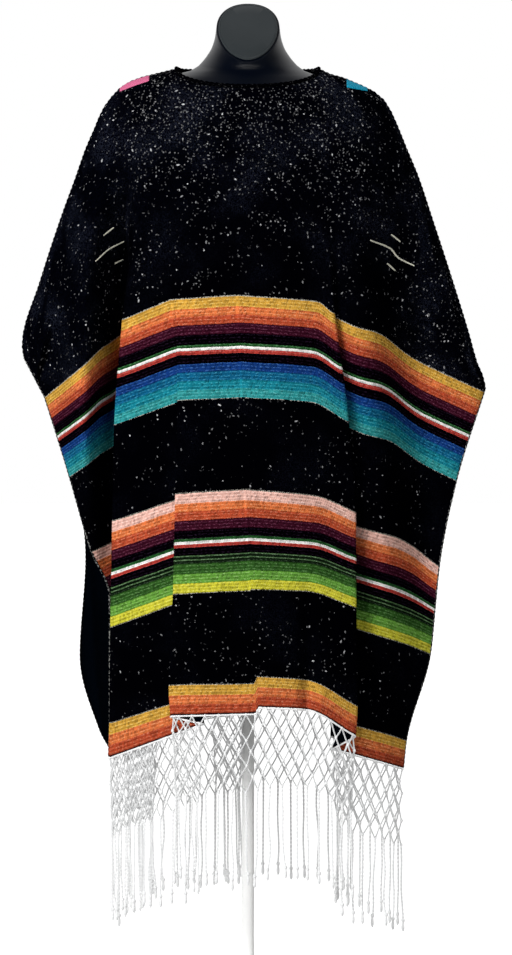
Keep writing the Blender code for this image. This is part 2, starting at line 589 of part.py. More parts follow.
def neck_cap(collection, surface):
    """The oval plate on the slanted neck cut: a squashed, tilted cylinder."""
    rim = NECK_RINGS[-1]
    run_y = rim.front + rim.back
    run_z = rim.back_z - rim.front_z
    slope = math.atan2(run_z, run_y)
    half_length = math.hypot(run_y, run_z) / 2
    bm = bmesh.new()
    bmesh.ops.create_cone(bm, cap_ends=True, segments=FORM_SEGMENTS, radius1=1, radius2=1, depth=1)
    bmesh.ops.scale(bm, verts=bm.verts,
                    vec=(rim.half_width * CAP_SHARE, half_length * CAP_SHARE, CAP_THICKNESS))
    made = add_mesh("form_neck_cap", bm, collection, surface)
    rise_out = CAP_THICKNESS / 2 + PIECE_GAP
    made.location = (0, (rim.back - rim.front) / 2 - math.sin(slope) * rise_out,
                     (rim.front_z + rim.back_z) / 2 + math.cos(slope) * rise_out)
    made.rotation_euler = (slope, 0, 0)
    return made


def turned_post(name, radius, low, high, collection, surface, edge=0.0, segments=48):
    bm = bmesh.new()
    bmesh.ops.create_cone(bm, cap_ends=True, segments=segments, radius1=radius, radius2=radius,
                          depth=high - low)
    made = add_mesh(name, bm, collection, surface)
    made.location = (0, 0, (low + high) / 2)
    if edge:
        rounded = made.modifiers.new("Edge", "BEVEL")
        rounded.width = edge
        rounded.segments = 2
        rounded.limit_method = "ANGLE"
    return made


def build():
    clear_scene()
    collection = bpy.data.collections.new("serape_poncho")
    bpy.context.scene.collection.children.link(collection)
    surfaces = {name: material(name) for name in COLOURS}

    front = Panel(FRONT_WEFTS, -1, NECK_DIP_FRONT).grid()
    back = Panel(BACK_WEFTS, 1, NECK_DIP_BACK).grid()
    sheet("front_panel", front, collection, surfaces["woven_black"])
    sheet("back_panel", back, collection, surfaces["woven_black"])
    sheet("front_fringe", fringe_grid(front), collection, surfaces["cotton_white"])
    sheet("back_fringe", fringe_grid(back), collection, surfaces["cotton_white"])
    binding(neck_path(front, back), collection, surfaces["binding_black"])

    torso(collection, surfaces["form_black"])
    neck_cap(collection, surfaces["cap_grey"])
    turned_post("stand_base", STAND_RADIUS, 0, STAND_THICKNESS, collection,
                surfaces["stand_white"], edge=0.003, segments=64)
    turned_post("stand_pole", POLE_RADIUS, STAND_THICKNESS + PIECE_GAP,
                FORM_SLICES[0].z - PIECE_GAP, collection, surfaces["stand_white"], segments=32)


build()
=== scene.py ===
"""Visual model of a mexican serape poncho on a headless display torso and round stand.

Metres, +Z up. The front faces -Y. The origin is the centre of the stand's underside.

The garment is two woven panels sewn together along sloping shoulder seams, with a crocheted
neck binding and a knotted cotton fringe along each hem. The panels repeat the frame's own
weft tables at a finer pitch, so each lies where the frame's solid lies.
"""

from __future__ import annotations

import logging
import math
from dataclasses import dataclass, fields
from enum import Enum

import bpy
import numpy as np
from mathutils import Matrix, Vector


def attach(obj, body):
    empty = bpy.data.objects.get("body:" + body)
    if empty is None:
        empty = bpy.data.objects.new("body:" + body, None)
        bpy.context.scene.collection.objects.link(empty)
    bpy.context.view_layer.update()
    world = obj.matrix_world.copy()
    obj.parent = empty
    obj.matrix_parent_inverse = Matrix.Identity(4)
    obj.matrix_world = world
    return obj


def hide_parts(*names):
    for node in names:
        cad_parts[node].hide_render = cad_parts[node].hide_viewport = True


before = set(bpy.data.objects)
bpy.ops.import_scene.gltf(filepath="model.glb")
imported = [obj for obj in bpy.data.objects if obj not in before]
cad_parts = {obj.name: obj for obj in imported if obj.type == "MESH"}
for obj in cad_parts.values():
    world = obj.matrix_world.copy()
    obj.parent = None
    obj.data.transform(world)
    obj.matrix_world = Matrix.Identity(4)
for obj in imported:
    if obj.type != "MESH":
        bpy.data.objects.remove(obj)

Array = np.ndarray
Piece = bpy.types.Object
Surface = bpy.types.Material
Triple = tuple[float, float, float]

LOG = logging.getLogger("serape")
BODY = "root"

WALL = 0.002              # thickness of the woven cloth
SEAM_HALF = 0.0006        # each panel's edge stands this far from the seam plane
PLEAT_ARC = 0.0078        # length of cloth in each of a pleat's two turns
PLEAT_FLAT = 0.010        # cloth between the two turns where the pleat has opened out
CREASE_STEP = 0.005       # width of the pressed line down the centre
NECK_HALF = 0.112         # half the width of the neck opening
NECK_Z = 1.449            # height of the shoulder seam at the neck
NECK_ROUNDNESS = 0.7      # below 1 the neckline drops sooner beside the seams
CORNER_LEFT_Z = 0.9872    # the seams end here, at the two side points
CORNER_RIGHT_Z = 0.9392
OUTER_TOP_X = -0.170      # where the outer and soft folds start on the shoulder seams
SOFT_TOP_X = 0.182
CORNER_REACH = 0.15       # rows crowd towards the seam except this near the side points
PLEAT_START = (0.62, 0.80, 0.74)    # share of the upper cloth above the outer, inner, side pleat
HIDDEN_SHARE = (0.25, 0.50, 0.70)   # share of a pleat's step that lies in its hidden part
SLOPE_REACH = 0.004       # the form's slope is taken over this far on either side
LAYER_SPREAD_MAX = 2.2    # a hidden layer moves in along y by at most this many times its depth
LAYER_SHARE_MAX = 0.5     # and by at most this share of the cloth's own depth
RIPPLE_ENDS = 0.8         # power of the half sine along a ripple
FOLD_START = 0.020        # the ripples grow where the cloth stands this far out of the seam plane
FOLD_FULL = 0.075
WING_FADE = 0.6           # share of a pleat's columns over which a wing's ripple dies out
NECK_LOOK_BACK = 0.3      # share of the upper rows between the neckline and the cloth it is seen from
UP = np.array([0.0, 0.0, 1.0])
UV_NAME = "cloth"
NET_TURN = 2.0            # the net's first cloth coordinate starts here, the cords' at 0


# ---------------- the garment's tables


class Side(Enum):
    """Which way a panel faces: the sign of its outward Y."""

    FRONT = -1
    BACK = 1

    def outward(self) -> Array:
        """The arrow out of the cloth."""
        return np.array([0.0, float(self.value), 0.0])


@dataclass(frozen=True)
class Slice:
    """A level slice: half-widths, depths, and the power of its rounded outline."""

    z: float
    left: float
    right: float
    front: float
    back: float
    power: float


CLOTH_SLICES = (
    Slice(1.453, 0.1, 0.098, 0.046, 0.046, 2.0),
    Slice(1.449, 0.114, 0.112, 0.0525, 0.0525, 2.0),
    Slice(1.44, 0.15, 0.132, 0.062, 0.062, 2.0),
    Slice(1.435, 0.17, 0.15, 0.068, 0.068, 2.0),
    Slice(1.4256, 0.1936, 0.173, 0.0745, 0.076, 2.0),
    Slice(1.416, 0.2065, 0.1952, 0.081, 0.084, 2.0),
    Slice(1.4, 0.2205, 0.216, 0.091, 0.094, 2.0),
    Slice(1.3824, 0.2325, 0.2272, 0.1, 0.104, 2.0),
    Slice(1.3536, 0.2445, 0.24, 0.1095, 0.112, 1.95),
    Slice(1.32, 0.2592, 0.2535, 0.118, 0.118, 1.9),
    Slice(1.2784, 0.2736, 0.2709, 0.125, 0.124, 1.85),
    Slice(1.2128, 0.2976, 0.2928, 0.133, 0.13, 1.8),
    Slice(1.1104, 0.3312, 0.3262, 0.141, 0.138, 1.75),
    Slice(1.0088, 0.36, 0.3571, 0.148, 0.144, 1.75),
    Slice(0.9872, 0.3576, 0.3625, 0.149, 0.145, 1.75),
    Slice(0.9392, 0.3395, 0.3792, 0.151, 0.147, 1.75),
    Slice(0.9, 0.32, 0.375, 0.153, 0.149, 1.75),
    Slice(0.7904, 0.296, 0.343, 0.157, 0.152, 1.75),
    Slice(0.6544, 0.285, 0.319, 0.161, 0.155, 1.75),
    Slice(0.5136, 0.276, 0.306, 0.164, 0.158, 1.75),
    Slice(0.4, 0.264, 0.282, 0.166, 0.16, 1.75),
    Slice(0.3, 0.25, 0.27, 0.168, 0.162, 1.75),
)
FORM_SLICES = (
    Slice(0.76, 0.147, 0.152, 0.1, 0.1, 2.2),
    Slice(0.768, 0.153, 0.159, 0.106, 0.107, 2.2),
    Slice(0.8, 0.157, 0.164, 0.11, 0.113, 2.2),
    Slice(0.86, 0.159, 0.167, 0.114, 0.119, 2.2),
    Slice(0.93, 0.154, 0.16, 0.11, 0.113, 2.2),
    Slice(1.03, 0.143, 0.143, 0.1, 0.098, 2.2),
    Slice(1.12, 0.151, 0.151, 0.107, 0.103, 2.2),
    Slice(1.2, 0.168, 0.168, 0.116, 0.111, 2.1),
    Slice(1.26, 0.188, 0.186, 0.1155, 0.1115, 2.05),
    Slice(1.3, 0.204, 0.201, 0.112, 0.1095, 2.0),
    Slice(1.33, 0.218, 0.214, 0.105, 0.105, 2.0),
    Slice(1.3536, 0.227, 0.2225, 0.0985, 0.101, 2.0),
    Slice(1.38, 0.217, 0.2115, 0.087, 0.091, 2.0),
    Slice(1.3975, 0.204, 0.199, 0.079, 0.082, 2.0),
    Slice(1.4135, 0.1955, 0.184, 0.072, 0.075, 2.0),
    Slice(1.423, 0.183, 0.164, 0.066, 0.0675, 2.0),
    Slice(1.4325, 0.156, 0.138, 0.0575, 0.056, 2.0),
    Slice(1.4375, 0.133, 0.116, 0.0535, 0.051, 2.0),
    Slice(1.4465, 0.093, 0.091, 0.0485, 0.045, 2.0),
)


@dataclass(frozen=True)
class NeckRing:
    """A ring of the neck, which leans into its slanted cut."""

    front_z: float
    back_z: float
    half_width: float
    front: float
    back: float


NECK_RINGS = (
    NeckRing(1.449, 1.46, 0.079, 0.048, 0.045),
    NeckRing(1.4515, 1.48, 0.068, 0.0485, 0.046),
    NeckRing(1.454, 1.503, 0.0585, 0.0495, 0.048),
    NeckRing(1.4565, 1.529, 0.053, 0.05, 0.048),
    NeckRing(1.459, 1.5552, 0.0505, 0.05, 0.048),
)


@dataclass(frozen=True)
class Pleat:
    """A pleat where a weft thread crosses it.

    turn is how far each of its bends has closed, tuck the width hidden under it, x and z its
    visible edge, step how much lower the thread reappears on the layer below, climb how much
    higher the thread runs at the pleat's hidden end than at its visible edge.
    """

    turn: float
    tuck: float
    x: float
    z: float
    step: float
    climb: float = 0.0


@dataclass(frozen=True)
class Weft:
    """One weft thread, warp metres down the centre from the neck, through its named points."""

    warp: float
    left_x: float
    left_z: float
    outer: Pleat
    inner: Pleat
    crease_x: float
    crease_z: float
    crease_rise: float
    bend_x: float
    bend_z: float
    side: Pleat
    soft_x: float
    soft_z: float
    right_x: float
    right_z: float


FRONT_WEFTS = (
    Weft(0.352, -0.3248, 0.9248, Pleat(150, 0.02, -0.2, 1.0496, 0.027),
         Pleat(60, 0.004, -0.116, 1.0816, 0.003), -0.0192, 1.087, 0.0, 0.11, 1.077,
         Pleat(100, 0.006, 0.1376, 1.0608, 0.013), 0.248, 0.994, 0.3776, 0.9335),
    Weft(0.515, -0.2848, 0.7968, Pleat(180, 0.034, -0.2128, 0.88, 0.03),
         Pleat(120, 0.008, -0.112, 0.9184, 0.006), -0.0112, 0.9224, 0.0, 0.1, 0.9152,
         Pleat(150, 0.012, 0.16, 0.885, 0.007), 0.254, 0.828, 0.3328, 0.7904),
    Weft(0.66, -0.25, 0.6784, Pleat(180, 0.05, -0.216, 0.728, 0.036),
         Pleat(180, 0.014, -0.1152, 0.7712, 0.01), -0.0064, 0.7776, 0.0, 0.11, 0.767,
         Pleat(180, 0.02, 0.1712, 0.7424, 0.019), 0.2624, 0.6832, 0.3056, 0.6544),
    Weft(0.735, -0.2215, 0.607, Pleat(180, 0.054, -0.2175, 0.6493, 0.036),
         Pleat(180, 0.02, -0.1168, 0.6967, 0.01), -0.003, 0.7032, 0.0005, 0.102, 0.6964,
         Pleat(180, 0.022, 0.1716, 0.6725, 0.029), 0.2585, 0.6126, 0.2991, 0.5897),
    Weft(0.823, -0.2208, 0.518, Pleat(180, 0.058, -0.219, 0.5568, 0.036),
         Pleat(180, 0.03, -0.119, 0.6096, 0.01), 0.0016, 0.6152, 0.002, 0.091, 0.6144,
         Pleat(180, 0.024, 0.172, 0.5888, 0.038), 0.248, 0.53, 0.2912, 0.5136),
    Weft(0.967, -0.221, 0.392, Pleat(180, 0.066, -0.2208, 0.4048, 0.008, 0.024),
         Pleat(180, 0.044, -0.1256, 0.466, 0.033), 0.0096, 0.469, 0.011, 0.093, 0.474,
         Pleat(180, 0.03, 0.174, 0.4336, 0.035), 0.214, 0.389, 0.2528, 0.3765),
    Weft(1.013, -0.2226, 0.3475, Pleat(180, 0.068, -0.2224, 0.35, 0.004, 0.03),
         Pleat(180, 0.048, -0.1232, 0.4176, 0.027), 0.012, 0.421, 0.01, 0.093, 0.4272,
         Pleat(180, 0.03, 0.1712, 0.3872, 0.034), 0.208, 0.344, 0.248, 0.332),
)
BACK_WEFTS = (
    Weft(0.352, -0.318, 0.918, Pleat(120, 0.014, -0.185, 1.042, 0.018),
         Pleat(60, 0.004, -0.07, 1.082, 0.003), 0.01, 1.085, 0.0, 0.09, 1.079,
         Pleat(110, 0.01, 0.16, 1.056, 0.012), 0.25, 0.993, 0.356, 0.908),
    Weft(0.515, -0.276, 0.792, Pleat(180, 0.028, -0.193, 0.882, 0.018),
         Pleat(120, 0.01, -0.068, 0.919, 0.006), 0.01, 0.922, 0.0, 0.09, 0.916,
         Pleat(160, 0.018, 0.164, 0.886, 0.014), 0.238, 0.832, 0.312, 0.78),
    Weft(0.66, -0.259, 0.668, Pleat(180, 0.036, -0.198, 0.734, 0.016),
         Pleat(180, 0.02, -0.066, 0.773, 0.01), 0.012, 0.778, 0.0, 0.09, 0.772,
         Pleat(180, 0.026, 0.169, 0.74, 0.014), 0.236, 0.69, 0.287, 0.652),
    Weft(0.823, -0.268, 0.512, Pleat(180, 0.042, -0.204, 0.57, 0.014),
         Pleat(180, 0.034, -0.064, 0.611, 0.016), 0.015, 0.616, 0.0, 0.09, 0.611,
         Pleat(180, 0.032, 0.172, 0.58, 0.016), 0.232, 0.535, 0.272, 0.506),
    Weft(0.967, -0.238, 0.395, Pleat(180, 0.046, -0.201, 0.432, 0.012),
         Pleat(180, 0.046, -0.062, 0.472, 0.022), 0.018, 0.48, 0.0, 0.09, 0.474,
         Pleat(180, 0.034, 0.174, 0.437, 0.016), 0.22, 0.4, 0.248, 0.385),
    Weft(1.013, -0.22, 0.36, Pleat(180, 0.048, -0.198, 0.392, 0.012),
         Pleat(180, 0.05, -0.06, 0.43, 0.022), 0.018, 0.436, 0.0, 0.09, 0.43,
         Pleat(180, 0.034, 0.172, 0.392, 0.016), 0.216, 0.356, 0.244, 0.34),
)


# ---------------- curves


def monotone_rows(knots: Array, values: Array, at: Array) -> Array:
    """Curves through each row's knots that never swing past them.

    Between two knots the curve is the cubic that meets both values with the harmonic mean of
    the neighbouring rates as its slope, or a level slope where the values turn.

    Args:
        knots, values: rows by K rising positions, and the values there.
        at: rows by N positions to read.

    Returns:
        rows by N values.
    """
    step = np.diff(knots, axis=1)
    rate = np.diff(values, axis=1) / step
    before, after = rate[:, :-1], rate[:, 1:]
    turning = before * after <= 0
    mean = 2 * before * after / np.where(turning, 1, before + after)
    slope = np.concatenate([rate[:, :1], np.where(turning, 0, mean), rate[:, -1:]], axis=1)
    at = np.clip(at, knots[:, :1], knots[:, -1:])
    k = np.clip((at[:, :, None] >= knots[:, None, :]).sum(axis=2) - 1, 0, step.shape[1] - 1)
    low, high, first, last, lead, trail = (
        np.take_along_axis(table, index, axis=1)
        for table, index in (
            (knots, k), (step, k), (values, k), (values, k + 1), (slope, k), (slope, k + 1)))
    u = (at - low) / high
    swing = (3 - 2 * u) * u * u
    return (first + swing * (last - first) + u * (1 - u) ** 2 * high * lead
            - u * u * (1 - u) * high * trail)


def monotone(knots: Array, values: Array, at: Array) -> Array:
    """One such curve, read at positions of any shape.

    Args:
        knots, values: K rising positions, and the values there.
        at: positions of any shape.

    Returns:
        values of that same shape.
    """
    at = np.asarray(at, float)
    knots, values = (np.asarray(row, float)[None, :] for row in (knots, values))
    return monotone_rows(knots, values, at.reshape(1, -1)).reshape(at.shape)


def shares(count: int) -> Array:
    """Even shares from 0 to 1, count steps."""
    return np.linspace(0, 1, count + 1)


def ease_ends(count: int) -> Array:
    """Shares from 0 to 1 that crowd towards 0, where the cloth curves round the side."""
    return shares(count) ** 1.35


def rise(value: Array, start: float, end: float) -> Array:
    """A smooth step from 0 at start to 1 at end."""
    u = np.clip((value - start) / (end - start), 0, 1)
    return u * u * (3 - 2 * u)


def rounded(angle: Array, power: Array) -> tuple[Array, Array]:
    """A rounded outline: sign(cos) |cos|^(2/power), and the same of the sine."""
    cos, sin = np.cos(angle), np.sin(angle)
    return np.sign(cos) * np.abs(cos) ** (2 / power), np.sign(sin) * np.abs(sin) ** (2 / power)


def walked(points: Array) -> Array:
    """Distance walked along a line of points."""
    steps = np.linalg.norm(np.diff(points, axis=0), axis=1)
    return np.concatenate([[0], np.cumsum(steps)])


def read_line(line: Array, distance: Array, at: Array) -> Array:
    """The points of a line at some distances walked along it."""
    return np.stack([np.interp(at, distance, line[:, k]) for k in range(3)], axis=-1)


def unit(vectors: Array) -> Array:
    """The vectors at length one."""
    return vectors / np.maximum(np.linalg.norm(vectors, axis=-1, keepdims=True), 1e-12)


def grid_normals(points: Array) -> Array:
    """Normals of a grid of points: across the columns crossed with down the rows."""
    return unit(np.cross(np.gradient(points, axis=1), np.gradient(points, axis=0)))


# ---------------- meshes from grids


class Skin:
    """Faces gathered for one mesh, with a cloth coordinate on every face corner."""

    def __init__(self) -> None:
        """Starts with no points and no faces."""
        self.points: list[Array] = []
        self.faces: list[Array] = []
        self.corners: list[Array] = []
        self.count = 0

    def _append(self, points: Array) -> int:
        """Adds points to the mesh.

        Args:
            points: any shape by 3.

        Returns:
            the number of the first one.
        """
        start = self.count
        self.points.append(points.reshape(-1, 3))
        self.count += self.points[-1].shape[0]
        return start

    def add_grid(self, points: Array, cloth: Array, flip: bool = False) -> None:
        """Adds a sheet of four-sided faces between neighbouring rows and columns.

        Args:
            points: rows by columns by 3.
            cloth: rows by columns by 2, the cloth coordinate of each point.
            flip: turns the faces over.
        """
        rows, columns = points.shape[:2]
        number = self._append(points) + np.arange(rows * columns).reshape(rows, columns)
        order = [(0, 0), (1, 0), (1, 1), (0, 1)]
        if flip:
            order = order[::-1]
        ends_r, ends_c = rows - 1, columns - 1
        pick = [(slice(r, r + ends_r), slice(c, c + ends_c)) for r, c in order]
        self.faces.append(np.stack([number[p] for p in pick], axis=-1).reshape(-1, 4))
        self.corners.append(np.stack([cloth[p] for p in pick], axis=-2).reshape(-1, 4, 2))

    def add_tubes(self, rings: Array, along: Array, across: float = 0.0,
                  cyclic: bool = False) -> None:
        """Adds tubes: each is a row of rings, closed round and capped at both ends.

        Args:
            rings: tubes by rings by points round by 3.
            along: tubes by rings, the second cloth coordinate.
            across: where the first cloth coordinate starts; it grows by 1 round the tube.
            cyclic: joins the last ring to the first, and leaves out the caps.
        """
        tubes, length, around = rings.shape[:3]
        number = self._append(rings) + np.arange(tubes * length * around).reshape(tubes, length, around)
        p = np.arange(length if cyclic else length - 1)
        s = np.arange(around)
        faces, corners = [], []
        stretch = along[:, -1] + (along[:, -1] - along[:, -2])
        longer = np.concatenate([along, stretch[:, None]], axis=1)
        for dp, ds in ((0, 0), (0, 1), (1, 1), (1, 0)):
            faces.append(number[:, (p + dp) % length][:, :, (s + ds) % around])
            u = across + (s + ds) / around
            v = longer[:, p + dp]
            corners.append(np.stack(np.broadcast_arrays(u[None, None, :], v[:, :, None]), axis=-1))
        self.faces.append(np.stack(faces, axis=-1).reshape(-1, 4))
        self.corners.append(np.stack(corners, axis=-2).reshape(-1, 4, 2))
        if cyclic:
            return
        for end, turn in ((0, -1), (length - 1, 1)):
            middle = self._append(rings[:, end].mean(axis=1)) + np.arange(tubes)
            first = number[:, end]
            second = np.roll(first, -1, axis=1)
            pair = (first, second) if turn > 0 else (second, first)
            fan = np.stack([*pair, np.broadcast_to(middle[:, None], first.shape)], axis=-1)
            self.faces.append(fan.reshape(-1, 3))
            place = np.broadcast_to(along[:, end][:, None, None], (*first.shape, 3))
            flat = np.stack([np.full(place.shape, across + 0.5), place], axis=-1)
            self.corners.append(flat.reshape(-1, 3, 2))

    def build(self, name: str, smooth_angle: float = 60.0) -> Piece:
        """Makes the object from all that was added.

        Args:
            name: the piece's name.
            smooth_angle: edges sharper than this many degrees stay sharp.

        Returns:
            the new object, linked to the scene, at the origin.
        """
        mesh = bpy.data.meshes.new(name)
        faces = [face for block in self.faces for face in block.tolist()]
        mesh.from_pydata(np.concatenate(self.points).tolist(), [], faces)
        layer = mesh.uv_layers.new(name=UV_NAME)
        corners = np.concatenate([block.reshape(-1, 2) for block in self.corners])
        layer.data.foreach_set("uv", corners.astype(np.float32).ravel())
        mesh.shade_smooth()
        mesh.set_sharp_from_angle(angle=math.radians(smooth_angle))
        made = bpy.data.objects.new(name, mesh)
        bpy.context.scene.collection.objects.link(made)
        return made


def settle(piece: Piece, surfaces: list[Surface],
           node: str = "") -> Piece:
    """Dresses a finished piece, parents it to the body and hides the frame's node that it replaces.

    Args:
        piece: the piece.
        surfaces: its materials, in the order of their numbers.
        node: the frame's node that it replaces, if any.

    Returns:
        the piece.
    """
    for surface in surfaces:
        piece.data.materials.append(surface)
    if node:
        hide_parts(node)
    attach(piece, BODY)
    return piece


def tube_rings(centres: Array, outward: Array, radius: Array, around: int,
               flatten: float = 1.0, cyclic: bool = False) -> Array:
    """Rings round each centre line: centre + r cos(a) side + r sin(a) outward.

    side is the line's direction crossed with outward, and outward is squared up to both.

    Args:
        centres: tubes by rings by 3.
        outward: a direction for each, that broadcasts to centres.
        radius: tubes by rings, or tubes by rings by points round.
        around: points round a ring.
        flatten: the tube's thickness outwards as a share of its width.
        cyclic: the line is a closed loop.

    Returns:
        tubes by rings by around by 3.
    """
    if cyclic:
        direction = np.roll(centres, -1, axis=1) - np.roll(centres, 1, axis=1)
    else:
        direction = np.gradient(centres, axis=1)
    direction = unit(direction)
    side = unit(np.cross(direction, np.broadcast_to(outward, centres.shape)))
    out = np.cross(side, direction)
    angle = 2 * np.pi * np.arange(around) / around
    if radius.ndim == 2:
        radius = radius[:, :, None]
    ring = side[:, :, None, :] * (np.cos(angle)[:, None] * radius[..., None])
    ring = ring + out[:, :, None, :] * (flatten * np.sin(angle)[:, None] * radius[..., None])
    return centres[:, :, None, :] + ring


@dataclass(frozen=True)
class Roll:
    """A knobbly roll of yarn along a line: its radius is r (1 + knob cos(2 pi s / stitch + turn))."""

    radius: float
    knob: float
    stitch: float
    around: int
    step: float               # between two rings
    inset: float = 0.0        # left free at both ends of the line

    def add(self, skin: Skin, line: Array, outward: Array, turn: float = 0.0,
            along: Array | None = None) -> None:
        """Adds the roll to a skin.

        Args:
            skin: the skin.
            line: points by 3.
            outward: a direction away from the cloth.
            turn: where in a stitch the line starts, in radians.
            along: the second cloth coordinate of each point, if not the distance walked.
        """
        distance = walked(line)
        at = np.arange(self.inset, distance[-1] - self.inset, self.step)
        swell = self.radius * (1 + self.knob * np.cos(2 * np.pi * at / self.stitch + turn))
        rings = tube_rings(read_line(line, distance, at)[None], outward, swell[None], self.around)
        skin.add_tubes(rings, (at if along is None else np.interp(at, distance, along))[None])


# ---------------- finishes


def dye(red: int, green: int, blue: int, depth: float = 1.6) -> tuple[float, ...]:
    """A yarn's colour from the shade it shows under the studio's soft light.

    Args:
        red, green, blue: the shade, 0 to 255.
        depth: how much light the shade was seen under.

    Returns:
        linear reflectance with alpha.
    """
    shade = np.array([red, green, blue]) / 255
    linear = np.where(shade <= 0.04045, shade / 12.92, ((shade + 0.055) / 1.055) ** 2.4) / depth
    return (*np.minimum(linear, 0.95).tolist(), 1.0)


class Signal:
    """A socket of a material's nodes; arithmetic on it wires a new node for each sign."""

    def __init__(self, bench: NodeBench, socket: bpy.types.NodeSocket) -> None:
        """Keeps the socket and the bench it is wired on."""
        self.bench, self.socket = bench, socket

    def __add__(self, other: object) -> Signal:
        """This plus the other."""
        return self.bench.math("ADD", self, other)

    def __radd__(self, other: float) -> Signal:
        """The number plus this."""
        return self.bench.math("ADD", other, self)

    def __sub__(self, other: object) -> Signal:
        """This less the other."""
        return self.bench.math("SUBTRACT", self, other)

    def __rsub__(self, other: float) -> Signal:
        """The number less this."""
        return self.bench.math("SUBTRACT", other, self)

    def __mul__(self, other: object) -> Signal:
        """This times the other."""
        return self.bench.math("MULTIPLY", self, other)

    def __truediv__(self, other: object) -> Signal:
        """This over the other."""
        return self.bench.math("DIVIDE", self, other)

    def __abs__(self) -> Signal:
        """This without its sign."""
        return self.bench.math("ABSOLUTE", self)


class NodeBench:
    """Short ways to wire the shader nodes of a material or of the world."""

    def __init__(self, owner: Surface | bpy.types.World) -> None:
        """Turns on the owner's nodes and keeps the one that gives its look.

        Args:
            owner: the material or the world.
        """
        owner.use_nodes = True
        self.tree = owner.node_tree
        self.shader = next(node for node in self.tree.nodes if not node.type.startswith("OUTPUT"))

    def feed(self, value: object, socket: bpy.types.NodeSocket) -> None:
        """Sets a socket or links a signal to it.

        Args:
            value: a number, a colour or a signal.
            socket: the input to feed.
        """
        if isinstance(value, Signal):
            self.tree.links.new(value.socket, socket)
        else:
            socket.default_value = value

    def node(self, kind: str, **settings: object) -> bpy.types.Node:
        """Adds a node.

        Args:
            kind: the node's type.
            settings: its properties.

        Returns:
            the node.
        """
        made = self.tree.nodes.new(kind)
        for key, value in settings.items():
            setattr(made, key, value)
        return made

    def wired(self, made: bpy.types.Node, inputs: dict[int | str, object],
              output: int | str = 0) -> Signal:
        """Feeds a node's inputs.

        Args:
            made: the node.
            inputs: the value or signal for each of its inputs.
            output: the output wanted.

        Returns:
            that output.
        """
        for key, value in inputs.items():
            self.feed(value, made.inputs[key])
        return Signal(self, made.outputs[output])

    def math(self, operation: str, a: object, b: object = 0.0) -> Signal:
        """One arithmetic step on numbers or signals."""
        return self.wired(self.node("ShaderNodeMath", operation=operation), {0: a, 1: b})

    def arrows(self, operation: str, inputs: dict[int | str, object], output: int | str = 0) -> Signal:
        """One step on vectors."""
        return self.wired(self.node("ShaderNodeVectorMath", operation=operation), inputs, output)

    def mix(self, factor: object, a: object, b: object, blend: str = "MIX") -> Signal:
        """One colour over another."""
        made = self.node("ShaderNodeMix", data_type="RGBA", blend_type=blend)
        return self.wired(made, {0: factor, 6: a, 7: b}, 2)

    def step(self, value: object, start: object, end: object) -> Signal:
        """A smooth step of a value, from 0 at start to 1 at end."""
        made = self.node("ShaderNodeMapRange", interpolation_type="SMOOTHSTEP")
        return self.wired(made, {"Value": value, "From Min": start, "From Max": end})

    def ramp(self, value: object, stops: list[tuple[float, tuple]]) -> Signal:
        """A colour chosen by a value from hard-edged stops.

        Args:
            value: the value, 0 to 1.
            stops: where each colour begins, and the colour.

        Returns:
            the colour.
        """
        made = self.node("ShaderNodeValToRGB")
        ramp = made.color_ramp
        ramp.interpolation = "CONSTANT"
        ramp.elements.remove(ramp.elements[1])
        for number, (place, colour) in enumerate(stops):
            stop = ramp.elements.new(place) if number else ramp.elements[0]
            stop.position = place
            stop.color = colour
        return self.wired(made, {0: value})

    def noise(self, vector: object, scale: float, detail: float = 2.0, rough: float = 0.5) -> Signal:
        """Soft noise of 0 to 1 on a vector."""
        return self.wired(self.node("ShaderNodeTexNoise", noise_dimensions="3D"), {
            "Vector": vector, "Scale": scale, "Detail": detail, "Roughness": rough}, "Fac")

    def vector(self, x: object, y: object, z: object = 0.0) -> Signal:
        """A vector from three numbers or signals."""
        return self.wired(self.node("ShaderNodeCombineXYZ"), {0: x, 1: y, 2: z})

    def cloth(self) -> tuple[Signal, Signal]:
        """Reads the piece's own map.

        Returns:
            the two cloth coordinates, in metres.
        """
        place = Signal(self, self.node("ShaderNodeUVMap", uv_map=UV_NAME).outputs[0])
        split = self.node("ShaderNodeSeparateXYZ")
        return self.wired(split, {0: place}, 0), Signal(self, split.outputs[1])

    def object_place(self) -> Signal:
        """The piece's own object coordinates."""
        return Signal(self, self.node("ShaderNodeTexCoord").outputs["Object"])

    def seen(self) -> Signal:
        """1 for what the camera sees straight on, 0 for what lights the object."""
        return Signal(self, self.node("ShaderNodeLightPath").outputs["Is Camera Ray"])

    def bump(self, height: object, distance: float, strength: float = 1.0) -> None:
        """Raises the surface by a height of 0 to 1 times distance.

        Args:
            height: the height.
            distance: the rise at a height of 1, in metres.
            strength: the share of the rise that shows.
        """
        made = self.node("ShaderNodeBump")
        relief = self.wired(made, {"Strength": strength, "Distance": distance, "Height": height})
        self.feed(relief, self.shader.inputs["Normal"])

    def finish(self, colour: Signal, **values: object) -> None:
        """Feeds the shader.

        Args:
            colour: its base colour.
            values: its other sockets; an underscore stands for a space.
        """
        self.feed(colour, self.shader.inputs["Base Color"])
        for key, value in values.items():
            self.feed(value, self.shader.inputs[key.replace("_", " ")])


